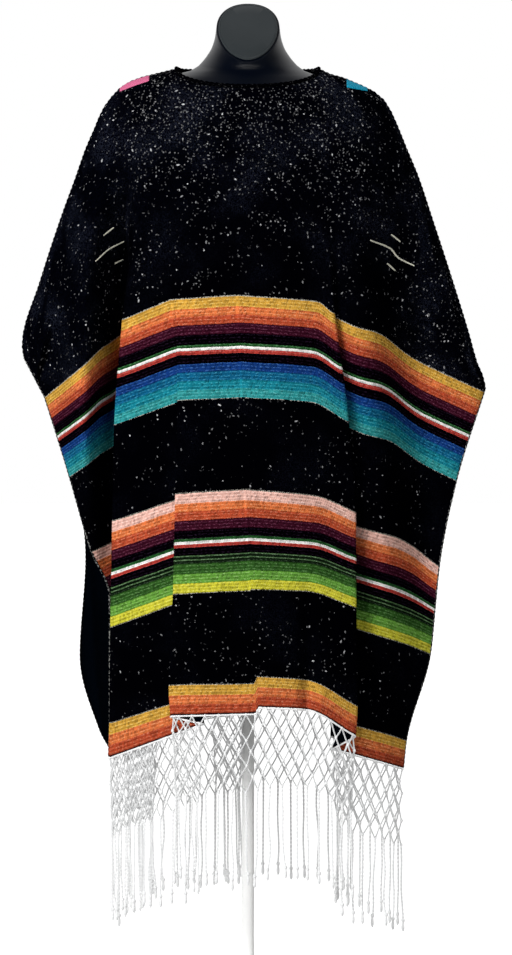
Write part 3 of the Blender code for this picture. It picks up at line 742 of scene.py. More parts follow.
class Yarn(Enum):
    """The dyed yarns of the bands, as the shades they show."""

    BONE = (176, 172, 160)
    GOLD = (222, 168, 66)
    ORANGE = (232, 122, 68)
    RUST = (190, 78, 48)
    MAROON = (58, 15, 32)
    BLACK = (3, 1, 4)
    LEAF = (38, 86, 42)
    WHITE = (255, 252, 248)
    RED = (182, 60, 52)
    ROYAL = (20, 58, 126)
    SEA = (18, 98, 138)
    TEAL = (24, 130, 148)
    PALE_TEAL = (50, 154, 155)
    BLUSH = (248, 194, 178)
    SAGE = (70, 100, 62)
    PINE = (16, 30, 15)
    FOREST = (50, 92, 36)
    GRASS = (104, 162, 62)
    YELLOW = (214, 208, 58)
    HEM = (60, 16, 26)
    PINK = (240, 120, 164)
    AQUA = (24, 172, 210)


@dataclass(frozen=True)
class Band:
    """A striped band across the cloth: where it starts and ends, and its stripes.

    Each stripe is its share of the band's depth and the name of its yarn.
    """

    start: float
    end: float
    stripes: tuple[tuple[float, str], ...]

    def edge(self) -> float:
        """The first stripe's share of the band's depth."""
        return self.stripes[0][0] / sum(width for width, _ in self.stripes)

    def stops(self) -> list[tuple[float, tuple]]:
        """Lays the stripes one after the other.

        Returns:
            the share where each begins, and its colour.
        """
        whole = sum(width for width, _ in self.stripes)
        place, found = 0.0, []
        for width, yarn in self.stripes:
            found.append((place / whole, dye(*Yarn[yarn].value)))
            place += width
        return found


BANDS = (
    Band(0.352, 0.515, (
        (0.9, "BONE"), (10.0, "GOLD"), (8.0, "ORANGE"), (8.2, "RUST"), (9.6, "MAROON"), (10.0, "BLACK"),
        (2.6, "LEAF"), (2.8, "WHITE"), (3.9, "RED"), (9.4, "BLACK"), (8.0, "ROYAL"), (8.6, "SEA"),
        (9.0, "TEAL"), (9.0, "PALE_TEAL"), (0.9, "BONE"))),
    Band(0.660, 0.823, (
        (0.9, "BONE"), (10.4, "BLUSH"), (8.4, "ORANGE"), (9.0, "RUST"), (9.8, "MAROON"), (8.6, "BLACK"),
        (2.8, "LEAF"), (2.8, "WHITE"), (3.4, "RED"), (8.6, "BLACK"), (1.3, "SAGE"), (2.7, "PINE"),
        (1.3, "SAGE"), (3.0, "PINE"), (10.2, "FOREST"), (9.8, "GRASS"), (9.8, "YELLOW"), (0.9, "BONE"))),
    Band(0.967, 1.0135, ((0.9, "BONE"), (9.4, "GOLD"), (8.6, "ORANGE"), (8.6, "RUST"), (1.3, "HEM"))),
)


class Finish:
    """A finish that wires one material."""

    def make(self, name: str) -> Surface:
        """Makes the material.

        Args:
            name: its name.

        Returns:
            the material.
        """
        material = bpy.data.materials.new(name)
        self.wire(NodeBench(material))
        return material

    def wire(self, b: NodeBench) -> None:
        """Wires the nodes on the bench b."""
        raise NotImplementedError


@dataclass(frozen=True)
class Slubs:
    """One kind of slub in the ground: cells to the metre, half-sizes and dimmest brightness."""

    cells: float
    half_width: float
    half_length: float
    least: float


@dataclass(frozen=True)
class WovenCloth(Finish):
    """Weft-faced striped cloth on a black ground with white slubs."""

    ground: tuple[float, ...] = dye(1, 1, 3)
    # The navy lies in random patches and, as painted sheen, over the yoke and the side edges; the fuzz is
    # fibre fuzz, laid on more thickly there as painted sheen too.
    ground_lit: tuple[float, ...] = dye(13, 17, 36)
    fuzz: tuple[float, ...] = dye(44, 48, 62)
    slub: tuple[float, ...] = dye(222, 222, 224)
    rib: float = 0.0050       # depth of one weft rib
    bead: float = 0.0036      # width of one warp bead
    bright: Slubs = Slubs(125, 0.0016, 0.0036, 0.22)
    # The faint specks are raised bouclé loops; their lightness is a painted highlight.
    faint: Slubs = Slubs(200, 0.0013, 0.0030, 0.05)
    fleck_gamma: float = 0.58  # how a painted highlight on a rib crest pales the stripe's own colour
    fleck_share: float = 0.75

    def wire(self, b: NodeBench) -> None:
        """Wires the cloth.

        Args:
            b: the bench to wire on.
        """
        u, v = b.cloth()
        flat = b.vector(u, v)
        waver = (b.noise(flat, 20, 2) - 0.5) * 0.0022
        tooth = (b.noise(flat, 380, 1) - 0.5) * 0.0011
        depth = v + waver + tooth
        ground, slubs = self.ground_colour(b, u, v)
        stitched = b.step(b.noise(b.vector(u, v * 0.5), 430, 1), 0.44, 0.54)
        colour, in_band = ground, None
        for band in BANDS:
            place = (depth - band.start) / (band.end - band.start)
            inside = b.math("GREATER_THAN", place, 0.0) * b.math("LESS_THAN", place, 1.0)
            bare = b.math("LESS_THAN", abs(place - 0.5), 0.5 - band.edge())
            inside = inside * b.math("MAXIMUM", bare, stitched)
            colour = b.mix(inside, colour, b.ramp(place, band.stops()))
            in_band = inside if in_band is None else b.math("MAXIMUM", in_band, inside)

        shade, glint, height = self.ribs(b, u, depth)
        # The ribs' shade holds painted shade in the valleys and a painted highlight on the centre crease.
        woven = b.mix(1.0, colour, b.vector(shade, shade, shade), "MULTIPLY")
        # pale is a paler copy of the stripe's colour, laid on the rib crests as painted highlight.
        pale = b.wired(b.node("ShaderNodeGamma"), {"Gamma": self.fleck_gamma, "Color": colour})
        woven = b.mix(glint * self.fleck_share, woven, pale)
        knop = b.noise(b.object_place(), 330, 3, 0.65)
        relief = height * 0.8 * in_band + knop * 0.35 + slubs * 0.8 * (1.0 - in_band)
        b.bump(relief, 0.0012, 0.7)
        b.finish(b.mix(in_band, colour, woven), Roughness=0.95, Specular_IOR_Level=0.0)

    def ground_colour(self, b: NodeBench, u: Signal, v: Signal) -> tuple[Signal, Signal]:
        """The black ground and its slubs, with a painted sheen of navy and fuzz on the yoke and the side
        edges.

        Args:
            b: the bench to wire on.
            u, v: the cloth coordinates.

        Returns:
            the ground's colour with its slubs, and the slubs' height.
        """
        place = b.object_place()
        patch = b.step(b.noise(b.vector(u, v), 9, 3), 0.42, 0.70)
        yoke = 1.0 - b.step(v, 0.10, 0.34)
        edge = b.step(abs(u), 0.24, 0.36)
        # The yoke and the side edges get painted sheen in the navy and the fuzz, and also more slubs.
        sheen_and_slub_zone = b.math("MAXIMUM", yoke, edge * (1.0 - b.step(v, 0.34, 0.40)))
        clump = b.step(b.noise(place, 17, 2), 0.40, 0.70)
        fibre = b.step(b.noise(place, 520, 2), 0.40, 0.72)
        ground = b.mix((patch * 0.18 + sheen_and_slub_zone * 0.18) * fibre, self.ground, self.ground_lit)
        worm = 1.0 - b.step(abs(b.noise(place, 300, 1) - 0.5), 0.015, 0.060)
        ground = b.mix(worm * (patch * (sheen_and_slub_zone * 0.55 + 0.10)), ground, self.fuzz)
        middle = 1.0 - b.step(abs(u), 0.12, 0.30)
        collar = middle * (1.0 - b.step(v, 0.06, 0.24))
        right = b.step(u, 0.25, 0.34) * (1.0 - b.step(v, 0.34, 0.38))
        near = sheen_and_slub_zone * 0.08 + clump * 0.14 + b.math("MAXIMUM", middle, right) * 0.035
        crowd = collar * 0.56 + right * 0.26
        bright, tall = self.slub_layer(b, place, self.bright, crowd * 0.08 + (near + 0.030))
        # The faint layer's lightness is a painted highlight on the bouclé loops.
        faint, low = self.slub_layer(b, place, self.faint, crowd + (near * 1.3 + 0.06))
        faint = b.math("MAXIMUM", faint * 0.34, low * collar * 0.13)
        return b.mix(b.math("MAXIMUM", bright, faint), ground, self.slub), b.math("MAXIMUM", tall, low)

    @staticmethod
    def slub_layer(b: NodeBench, place: Signal, kind: Slubs, density: Signal) -> tuple[Signal, Signal]:
        """Oval slubs, one to a cell of space at most, each turned its own way.

        A point's place from its cell's centre is turned by three random angles; the slub is
        where the length of that place over the three half-sizes is below one, so the cloth
        cuts each of them somewhere between its tip and its middle.

        Args:
            b: the bench to wire on.
            place: the object coordinates.
            kind: the slubs' sizes.
            density: the share of cells that hold a slub.

        Returns:
            the slubs' brightness and their height.
        """
        cell = b.node("ShaderNodeTexVoronoi", voronoi_dimensions="3D", feature="F1")
        chances = b.wired(cell, {"Vector": place, "Scale": kind.cells}, "Color")
        away = b.arrows("SUBTRACT", {0: place, 1: Signal(b, cell.outputs["Position"])})
        angles = b.arrows("SCALE", {0: chances, "Scale": 23.0})
        turned = b.wired(b.node("ShaderNodeVectorRotate", rotation_type="EULER_XYZ"),
                         {"Vector": away, "Rotation": angles})
        sized = b.arrows("DIVIDE", {0: turned, 1: (kind.half_length, kind.half_width, kind.half_width)})
        reach = b.arrows("LENGTH", {0: sized}, "Value")
        luck = b.node("ShaderNodeSeparateColor")
        bright = b.wired(luck, {0: chances}, 2)
        held = b.math("LESS_THAN", Signal(b, luck.outputs[1]), density)
        height = (1.0 - b.step(reach, 0.55, 1.05)) * held
        chance = b.math("POWER", bright, 2.2) * (1 - kind.least)
        return height * (chance + kind.least), height

    def ribs(self, b: NodeBench, u: Signal, v: Signal) -> tuple[Signal, Signal, Signal]:
        """The weft's ribs, broken up by warp beads and by streaks along the weft.

        A rib is a raised cosine down the warp; the valley between two ribs is darkened as painted shade,
        dotted by the beads, the crests carry painted highlights broken into flecks, and the streaks are
        noise drawn out along the weft. A pale line down the centre crease is a painted highlight.

        Args:
            b: the bench to wire on.
            u, v: the cloth coordinates.

        Returns:
            the shade of the ribs, where the painted crest highlights lie, and the ribs' height, 0 to 1.
        """
        whole_turn = 2 * math.pi
        sway = b.noise(b.vector(u * 0.12, v), 210, 2) * 3.0
        row = v * (whole_turn / self.rib) + sway
        wave = b.math("COSINE", row) * 0.5 + 0.5
        valley = 1.0 - b.step(wave, 0.02, 0.50)
        beads = u * (whole_turn / self.bead) + row * 0.5
        bead = b.math("SINE", beads) * 0.5 + 0.5
        column, line = (b.math("FLOOR", angle * (1 / whole_turn)) for angle in (beads, row))
        white = b.node("ShaderNodeTexWhiteNoise", noise_dimensions="2D")
        chance = b.wired(white, {"Vector": b.vector(column, line)}, "Value")
        broken = b.step(b.noise(b.vector(u * 0.20, v), 330, 2), 0.30, 0.56)
        streak = b.noise(b.vector(u * 0.05, v), 640, 3, 0.7)
        dash = b.step(b.noise(b.vector(u * 0.60, v), 640, 2, 0.6), 0.58, 0.70)
        # glint: painted highlights on the rib crests, broken into flecks.
        glint = b.step(b.noise(b.vector(u * 0.45, v), 560, 2), 0.49, 0.62) * b.step(wave, 0.30, 0.85)
        # groove: painted shade in the valleys between the ribs.
        groove = valley * broken * (1.0 - bead * 0.60)
        # crease: a painted highlight, a pale line down the pressed centre crease.
        crease = 1.0 - b.step(abs(u - 0.001), 0.0004, 0.0030)
        shade = streak * 0.64 + 0.38 + chance * 0.52 - groove * 0.36 - dash * 0.15 + crease * 0.28
        return b.math("MAXIMUM", shade, 0.10), glint, wave * 0.7 + bead * 0.3


@dataclass(frozen=True)
class ShadeDarkInside(Finish):
    """The cloth's inside, painted a plain blue-black that stands in for the shade inside the garment,
    with a fine rib.
    """

    ground: tuple[float, ...] = dye(1, 5, 11)
    lit: tuple[float, ...] = dye(6, 14, 28)

    def wire(self, b: NodeBench) -> None:
        """Wires the inside of the cloth.

        Args:
            b: the bench to wire on.
        """
        u, v = b.cloth()
        streak = b.noise(b.vector(u * 0.2, v), 500, 3, 0.6)
        fuzz = b.noise(b.vector(u, v), 700, 2)
        b.bump(streak + fuzz * 0.5, 0.0006, 0.7)
        b.finish(b.mix(streak * fuzz, self.ground, self.lit), Roughness=0.92, Specular_IOR_Level=0.02)


@dataclass(frozen=True)
class KnopYarn(Finish):
    """Black knop yarn with pale flecks, worked into an edge."""

    ground: tuple[float, ...] = dye(2, 2, 4)
    fleck: tuple[float, ...] = dye(130, 130, 130)
    share: float = 0.62       # the noise above which a fleck shows

    def wire(self, b: NodeBench) -> None:
        """Wires the knop yarn.

        Args:
            b: the bench to wire on.
        """
        place = b.object_place()
        fleck = b.step(b.noise(place, 330, 2, 0.6), self.share, self.share + 0.10)
        soft = b.noise(place, 900, 2)
        b.bump(b.noise(place, 520, 3, 0.6) + fleck, 0.0010, 0.9)
        b.finish(b.mix(fleck * soft, self.ground, self.fleck), Roughness=0.95, Specular_IOR_Level=0.0)


@dataclass(frozen=True)
class SolidYarn(Finish):
    """One dyed yarn with a fine twist, for strokes and patches."""

    shade: tuple[int, int, int]

    def wire(self, b: NodeBench) -> None:
        """Wires the yarn.

        Args:
            b: the bench to wire on.
        """
        tone = b.noise(b.object_place(), 700, 3, 0.7)
        light = dye(*self.shade)
        dark = tuple(value * 0.62 for value in light[:3]) + (1.0,)
        b.bump(tone, 0.0006, 0.8)
        b.finish(b.mix(b.step(tone, 0.3, 0.62), dark, light), Roughness=0.85, Specular_IOR_Level=0.15)


@dataclass(frozen=True)
class CottonCord(Finish):
    """Undyed white cotton, twisted, with painted shade in its twist's hollows and over the whole net, and
    a faint painted glow.
    """

    shade: tuple[float, ...] = (0.70, 0.705, 0.705, 1.0)
    hollow: tuple[float, ...] = (0.55, 0.555, 0.558, 1.0)
    net_shade: tuple[float, ...] = (0.50, 0.505, 0.506, 1.0)
    net_hollow: tuple[float, ...] = (0.38, 0.385, 0.388, 1.0)
    glow: float = 0.17        # a painted glow: the cotton gives off white light of its own

    def wire(self, b: NodeBench) -> None:
        """Wires the cotton: its twist runs as a slanting wave in cloth coordinates, darker in its hollows
        as painted shade, mixed with random fuzz.

        Args:
            b: the bench to wire on.
        """
        u, v = b.cloth()
        twist = b.math("SINE", u * (4 * math.pi) + v * 1500) * 0.5 + 0.5
        fuzz = b.noise(b.object_place(), 900, 2)
        tone = (twist + fuzz) * 0.5
        # The net takes a darker copy of the same cotton as painted shade.
        loose = b.mix(tone, self.hollow, self.shade)
        netted = b.mix(tone, self.net_hollow, self.net_shade)
        b.bump(twist + fuzz, 0.0004, 0.4)
        # The emission is a painted glow on the cotton.
        b.finish(b.mix(b.math("GREATER_THAN", u, NET_TURN - 0.5), loose, netted), Roughness=0.88,
                 Specular_IOR_Level=0.15, Sheen_Weight=0.3, Sheen_Roughness=0.6,
                 Emission_Color=(1.0, 1.0, 1.0, 1.0), Emission_Strength=self.glow)


@dataclass(frozen=True)
class GlossShell(Finish):
    """Black moulded shell of the torso, half gloss, with faint scuffs."""

    ground: tuple[float, ...] = (0.0001, 0.0009, 0.0034, 1.0)
    dust: tuple[float, ...] = (0.0010, 0.0024, 0.0060, 1.0)
    roughness: float = 0.33

    def wire(self, b: NodeBench) -> None:
        """Wires the shell.

        Args:
            b: the bench to wire on.
        """
        place = b.object_place()
        cloud = b.noise(place, 6, 4, 0.6)
        scuff = b.step(b.noise(place, 60, 4, 0.7), 0.52, 0.78)
        b.bump(b.noise(place, 260, 2), 0.0002, 0.25)
        b.finish(b.mix(cloud * scuff, self.ground, self.dust), Specular_IOR_Level=0.90,
                 Roughness=cloud * 0.12 + self.roughness)


@dataclass(frozen=True)
class SatinPaint(Finish):
    """Satin paint with a fine orange-peel surface."""

    shade: tuple[float, ...]
    worn: tuple[float, ...]
    roughness: float

    def wire(self, b: NodeBench) -> None:
        """Wires the paint.

        Args:
            b: the bench to wire on.
        """
        place = b.object_place()
        cloud = b.noise(place, 14, 4, 0.6)
        b.bump(b.noise(place, 420, 2), 0.0002, 0.3)
        b.finish(b.mix(b.step(cloud, 0.35, 0.75), self.shade, self.worn), Specular_IOR_Level=0.35,
                 Roughness=cloud * 0.12 + (self.roughness - 0.06))


# ---------------- the cloth's form


class Part(Enum):
    """Which columns of a panel a ripple reaches."""

    WHOLE = "whole"
    LEFT_WING = "left wing"
    MIDDLE = "middle"
    RIGHT_WING = "right wing"


@dataclass(frozen=True)
class Ripple:
    """A soft ridge or trough down the cloth.

    Its line runs straight from (x_high, z_high) to (x_low, z_low). Its height falls off
    sideways as a bell of that width, and lengthwise as a half sine. lift is how far it
    carries the threads up instead, for a band that bends as it crosses the ripple.
    """

    x_high: float
    z_high: float
    x_low: float
    z_low: float
    width: float
    height: float
    part: Part = Part.WHOLE
    lift: float = 0.0

    def bell(self, x: Array, z: Array) -> Array:
        """How much of the ripple lies at some places.

        Args:
            x, z: the places, in one shape.

        Returns:
            the share of its full height, in that shape.
        """
        share = (self.z_high - z) / (self.z_high - self.z_low)
        centre = self.x_high + (self.x_low - self.x_high) * share
        length = np.sin(np.pi * np.clip(share, 0, 1)) ** RIPPLE_ENDS
        return np.exp(-(((x - centre) / self.width) ** 2)) * length


FRONT_RIPPLES = (
    Ripple(-0.162, 1.32, -0.219, 0.3, 0.0325, -0.098, Part.LEFT_WING),
    Ripple(-0.232, 1.3, -0.24, 0.76, 0.016, 0.0, Part.LEFT_WING, 0.0045),
    Ripple(-0.2467, 1.3, -0.2884, 0.6, 0.0324, 0.078, Part.LEFT_WING, -0.002),
    Ripple(0.0201, 1.26, 0.1809, 0.42, 0.0417, -0.04, Part.RIGHT_WING),
    Ripple(0.1663, 1.3, 0.2679, 0.38, 0.035, 0.0285, Part.RIGHT_WING),
    Ripple(0.262, 1.3, 0.256, 0.36, 0.064, -0.052, Part.RIGHT_WING),
    Ripple(0.184, 1.3, 0.252, 0.6, 0.032, 0.0, Part.RIGHT_WING, 0.0125),
    Ripple(0.3535, 1.25, 0.3873, 0.3, 0.0489, -0.0175, Part.RIGHT_WING),
    Ripple(0.098, 0.64, 0.092, 0.3, 0.011, -0.012),
    Ripple(-0.175, 1.36, -0.19, 0.9, 0.022, 0.006, Part.MIDDLE),
    Ripple(-0.215, 1.25, -0.285, 0.84, 0.02, -0.006),
    Ripple(0.15, 1.36, 0.165, 0.93, 0.026, 0.006),
    Ripple(-0.085, 1.3, -0.08, 0.8, 0.03, 0.004),
    Ripple(0.06, 1.28, 0.055, 0.7, 0.034, 0.0045),
    Ripple(-0.045, 0.86, -0.06, 0.34, 0.022, 0.004),
    Ripple(0.13, 0.9, 0.132, 0.36, 0.018, -0.0035),
    Ripple(-0.165, 0.84, -0.17, 0.35, 0.018, 0.0045),
    Ripple(0.215, 0.8, 0.228, 0.36, 0.018, 0.005),
)
BACK_RIPPLES = (
    Ripple(-0.205, 1.24, -0.215, 0.56, 0.022, -0.014, Part.LEFT_WING),
    Ripple(0.196, 1.26, 0.19, 0.5, 0.022, -0.014, Part.RIGHT_WING),
    Ripple(-0.15, 1.34, -0.215, 0.88, 0.026, 0.007),
    Ripple(-0.21, 1.24, -0.29, 0.8, 0.022, -0.006),
    Ripple(0.15, 1.35, 0.21, 0.86, 0.026, 0.007),
    Ripple(0.22, 1.22, 0.29, 0.84, 0.022, -0.006),
    Ripple(-0.02, 1.3, -0.03, 0.6, 0.034, 0.005),
    Ripple(0.07, 1.18, 0.085, 0.4, 0.028, -0.004),
    Ripple(-0.12, 0.92, -0.128, 0.36, 0.022, 0.005),
    Ripple(0.225, 0.82, 0.215, 0.36, 0.018, 0.005),
)
RIPPLES = {Side.FRONT: FRONT_RIPPLES, Side.BACK: BACK_RIPPLES}


class RoundedForm:
    """A body given by level slices; its outline is |x/width|^power + |y/depth|^power = 1."""

    def __init__(self, slices: tuple[Slice, ...]) -> None:
        """Sorts the slices upwards into one column for each field."""
        rows = sorted(slices, key=lambda row: row.z)
        self.columns = {item.name: np.array([getattr(row, item.name) for row in rows])
                        for item in fields(Slice)}

    def read(self, name: str, z: Array) -> Array:
        """One column of the table at the heights z."""
        return monotone(self.columns["z"], self.columns[name], z)

    def depth(self, x: Array, z: Array, side: Side) -> Array:
        """How far the form stands out from the seam plane.

        Args:
            x, z: the places, in shapes that broadcast.
            side: the side looked at.

        Returns:
            the depth at each place.
        """
        width = np.where(x < 0, self.read("left", z), self.read("right", z))
        power = self.read("power", z)
        reach = self.read("front" if side is Side.FRONT else "back", z)
        left_over = np.clip(1 - np.clip(np.abs(x) / width, 0, 1) ** power, 0, 1)
        return reach * left_over ** (1 / power)


CLOTH = RoundedForm(CLOTH_SLICES)
TORSO = RoundedForm(FORM_SLICES)


@dataclass(frozen=True)
class ColumnPlan:
    """Columns of the cloth between its named threads."""

    wing: int = 26
    pleat_turn: int = 6
    pleat_flat: int = 11
    outer_inner: int = 17
    inner_crease: int = 23
    crease: int = 2
    crease_bend: int = 23
    bend_side: int = 13
    side_soft: int = 18
    soft_right: int = 25

    def pleat(self) -> int:
        """Columns in one whole pleat."""
        return 2 * self.pleat_turn + self.pleat_flat

    def stations(self) -> Array:
        """Column numbers of the named threads, from the left selvedge to the right one."""
        widths = [self.wing, self.pleat(), self.outer_inner, self.pleat(), self.inner_crease,
                  self.crease, self.crease_bend, self.bend_side, self.pleat(), self.side_soft,
                  self.soft_right]
        return np.concatenate([[0], np.cumsum(widths)])


@dataclass
class WovenPanel:
    """One panel of cloth as a grid: rows are weft threads, columns are warp threads."""

    name: str
    node: str
    wefts: tuple[Weft, ...]
    side: Side
    neck_dip: float
    plan: ColumnPlan = ColumnPlan()
    upper_rows: int = 74
    lower_rows: int = 124

    def __post_init__(self) -> None:
        """Works out the grid, the cloth coordinates and the cloth's area."""
        stops = self.plan.stations()
        column = np.arange(stops[-1] + 1)
        fade = WING_FADE * self.plan.pleat()
        left = 1 - rise(column, stops[1], stops[1] + fade)
        right = rise(column, stops[9] - fade, stops[9])
        self.reach = {Part.WHOLE: np.ones(column.size), Part.LEFT_WING: left,
                      Part.RIGHT_WING: right, Part.MIDDLE: 1 - left - right}
        self.points, self.cloth = self.surface()
        across = np.cross(self.points[1:, 1:] - self.points[:-1, :-1],
                          self.points[1:, :-1] - self.points[:-1, 1:])
        self.area = float(np.linalg.norm(across, axis=-1).sum() / 2)

    def table(self, warp: Array) -> dict[str, Array]:
        """Every value of the weft table at some distances down the cloth.

        Args:
            warp: the distances.

        Returns:
            the values by name, each a column with one row for each distance.
        """
        found = {}
        knots = [weft.warp for weft in self.wefts]
        for item in fields(Weft):
            cells = [getattr(weft, item.name) for weft in self.wefts]
            if isinstance(cells[0], Pleat):
                for part in fields(Pleat):
                    values = [getattr(pleat, part.name) for pleat in cells]
                    found[f"{item.name}_{part.name}"] = monotone(knots, values, warp)[:, None]
            else:
                found[item.name] = monotone(knots, cells, warp)[:, None]
        return found

    def pleat_path(self, table: dict[str, Array], name: str, share: Array, sign: int,
                   hidden: float) -> tuple[Array, Array, Array, Array]:
        """The two turns of a pleat and the cloth between them, as one smooth path per row.

        The path heads along +x, swings through the turning angle, runs level and swings back:
        arcs of radius length/angle joined by a straight at that angle.

        Args:
            table: the weft table's values by row.
            name: the pleat.
            share: how far the pleat has closed, by row.
            sign: +1 where the right-hand layer is on top, -1 where the left-hand one is.
            hidden: the share of the thread's step that lies in the pleat.

        Returns:
            x, z and layer depth of each column, and the whole pleat's depth, all by row.
        """
        angle = np.radians(np.maximum(table[f"{name}_turn"] * share, 1.0))
        flat = PLEAT_FLAT + (table[f"{name}_tuck"] - PLEAT_FLAT) * share
        turn = shares(self.plan.pleat_turn)[None, :]
        level = shares(self.plan.pleat_flat)[None, 1:]
        radius = PLEAT_ARC / angle
        first_x = radius * np.sin(angle * turn)
        first_y = radius * (1 - np.cos(angle * turn))
        level_x = first_x[:, -1:] + flat * np.cos(angle) * level
        level_y = first_y[:, -1:] + flat * np.sin(angle) * level
        last_x = level_x[:, -1:] + first_x[:, -1:] - first_x[:, ::-1][:, 1:]
        last_y = level_y[:, -1:] + first_y[:, -1:] - first_y[:, ::-1][:, 1:]
        x = np.concatenate([first_x, level_x, last_x], axis=1)
        y = np.concatenate([first_y, level_y, last_y], axis=1)
        ones = np.ones_like(flat)
        length = np.concatenate([PLEAT_ARC * turn * ones, PLEAT_ARC + flat * level,
                                 PLEAT_ARC + flat + PLEAT_ARC * turn[:, 1:]], axis=1)
        along = length / length[:, -1:]
        edge = x[:, -1:] - radius * np.sin(np.minimum(angle, math.pi / 2))
        fall = (table[f"{name}_step"] * hidden - table[f"{name}_climb"]) * share
        top_x, top_z = table[f"{name}_x"], table[f"{name}_z"]
        depth = y[:, -1:]
        if sign > 0:
            return top_x + x - edge, top_z - fall * (1 - along), depth - y, depth
        return top_x - (x - edge)[:, ::-1], top_z - fall * along, (depth - y)[:, ::-1], depth

    def weft_rows(self, table: dict[str, Array], opening: Array) -> Array:
        """x, z and layer depth of every column on every row.

        Args:
            table: the weft table's values by row.
            opening: rows by 3, how far each pleat has closed.

        Returns:
            3 by rows by columns.
        """
        plan = self.plan
        ends = [self.pleat_path(table, name, opening[:, k:k + 1], sign, HIDDEN_SHARE[k])
                for k, (name, sign) in enumerate((("outer", 1), ("inner", 1), ("side", -1)))]
        outer, inner, side = ends
        wing = run((table["left_x"], outer[0][:, :1]), (table["left_z"], outer[1][:, :1]),
                   (ease_ends(plan.wing),), inner[3] + outer[3])
        gap = run((outer[0][:, -1:], inner[0][:, :1]), (outer[1][:, -1:], inner[1][:, :1]),
                  (shares(plan.outer_inner),), inner[3])
        left = run((inner[0][:, -1:], table["crease_x"]), (inner[1][:, -1:], table["crease_z"]),
                   (shares(plan.inner_crease),), 0 * inner[3])
        past_x = table["crease_x"] + CREASE_STEP
        past_z = table["crease_z"] + table["crease_rise"]
        crease = run((table["crease_x"], past_x), (table["crease_z"], past_z),
                     (shares(plan.crease),), 0 * inner[3])
        right = run((past_x, table["bend_x"], side[0][:, :1]), (past_z, table["bend_z"], side[1][:, :1]),
                    (shares(plan.crease_bend), shares(plan.bend_side)), 0 * inner[3])
        far = run((side[0][:, -1:], table["soft_x"], table["right_x"]),
                  (side[1][:, -1:], table["soft_z"], table["right_z"]),
                  (shares(plan.side_soft), 1 - ease_ends(plan.soft_right)[::-1]), side[3])
        outer, inner, side = (np.stack(pleat[:3]) for pleat in (outer, inner, side))
        outer[2] = outer[2] + ends[1][3]
        # Each run gives its inner columns only, because a pleat's ends are its neighbours' ends.
        return np.concatenate([wing[..., :-1], outer, gap[..., 1:-1], inner, left[..., 1:],
                               crease[..., 1:], right[..., 1:-1], side, far[..., 1:]], axis=2)

    def top_edge(self) -> tuple[Array, Array, Array, Array]:
        """Where every column starts, on the shoulder seams and the neckline.

        Returns:
            x and z of each column, which are on a seam, and how far along the edge each is.
        """
        left_z = np.linspace(CORNER_LEFT_Z, NECK_Z, 400)
        right_z = np.linspace(NECK_Z, CORNER_RIGHT_Z, 400)
        around = np.linspace(0, math.pi, 201)[1:-1]
        neck_x = -NECK_HALF * np.cos(around)
        neck_z = NECK_Z - self.neck_dip * np.sin(around) ** NECK_ROUNDNESS
        neck_y = CLOTH.depth(neck_x, neck_z, self.side)
        left_x = np.minimum(-CLOTH.read("left", left_z), -NECK_HALF)
        right_x = np.maximum(CLOTH.read("right", right_z), NECK_HALF)
        left_walk = walked(np.stack([left_x, left_z], axis=-1))
        neck_left = left_walk[-1]
        neck_line = np.stack([np.concatenate([[-NECK_HALF], neck_x, [NECK_HALF]]),
                              np.concatenate([[0], neck_y, [0]]),
                              np.concatenate([[NECK_Z], neck_z, [NECK_Z]])], axis=-1)
        neck_walk = neck_left + walked(neck_line)
        neck_right = neck_walk[-1]
        right_walk = neck_right + walked(np.stack([right_x, right_z], axis=-1))
        x = np.concatenate([left_x, neck_x, right_x])
        z = np.concatenate([left_z, neck_z, right_z])
        walk = np.concatenate([left_walk, neck_walk[1:-1], right_walk])
        outer = walk[np.argmin(np.abs(x - OUTER_TOP_X))]
        soft = walk[np.argmin(np.abs(x - SOFT_TOP_X))]
        crease = 0.5 * (neck_left + neck_right)
        bend = 0.5 * (crease + neck_right)
        pleat_width = 2 * PLEAT_ARC + PLEAT_FLAT
        places = [0, outer, outer + pleat_width, neck_left - pleat_width, neck_left, crease,
                  crease + CREASE_STEP, bend, neck_right, neck_right + pleat_width, soft, walk[-1]]
        stops = self.plan.stations()
        at = np.interp(np.arange(stops[-1] + 1), stops, places)
        on_seam = (at <= neck_left + 1e-9) | (at >= neck_right - 1e-9)
        return np.interp(at, walk, x), np.interp(at, walk, z), on_seam, at

    def rippled(self, x: Array, z: Array) -> tuple[Array, Array]:
        """The cloth's depth and height with its ripples, which die out towards the seams.

        Args:
            x, z: rows by columns, where the threads run before the ripples.

        Returns:
            the depth and the new z.
        """
        depth = CLOTH.depth(x, z, self.side)
        strength = rise(depth, FOLD_START, FOLD_FULL)
        deeper, higher = np.zeros_like(x), np.zeros_like(x)
        for ripple in RIPPLES[self.side]:
            bell = ripple.bell(x, z) * self.reach[ripple.part] * strength
            deeper = deeper + ripple.height * bell
            higher = higher + ripple.lift * bell
        return depth + deeper, z + higher

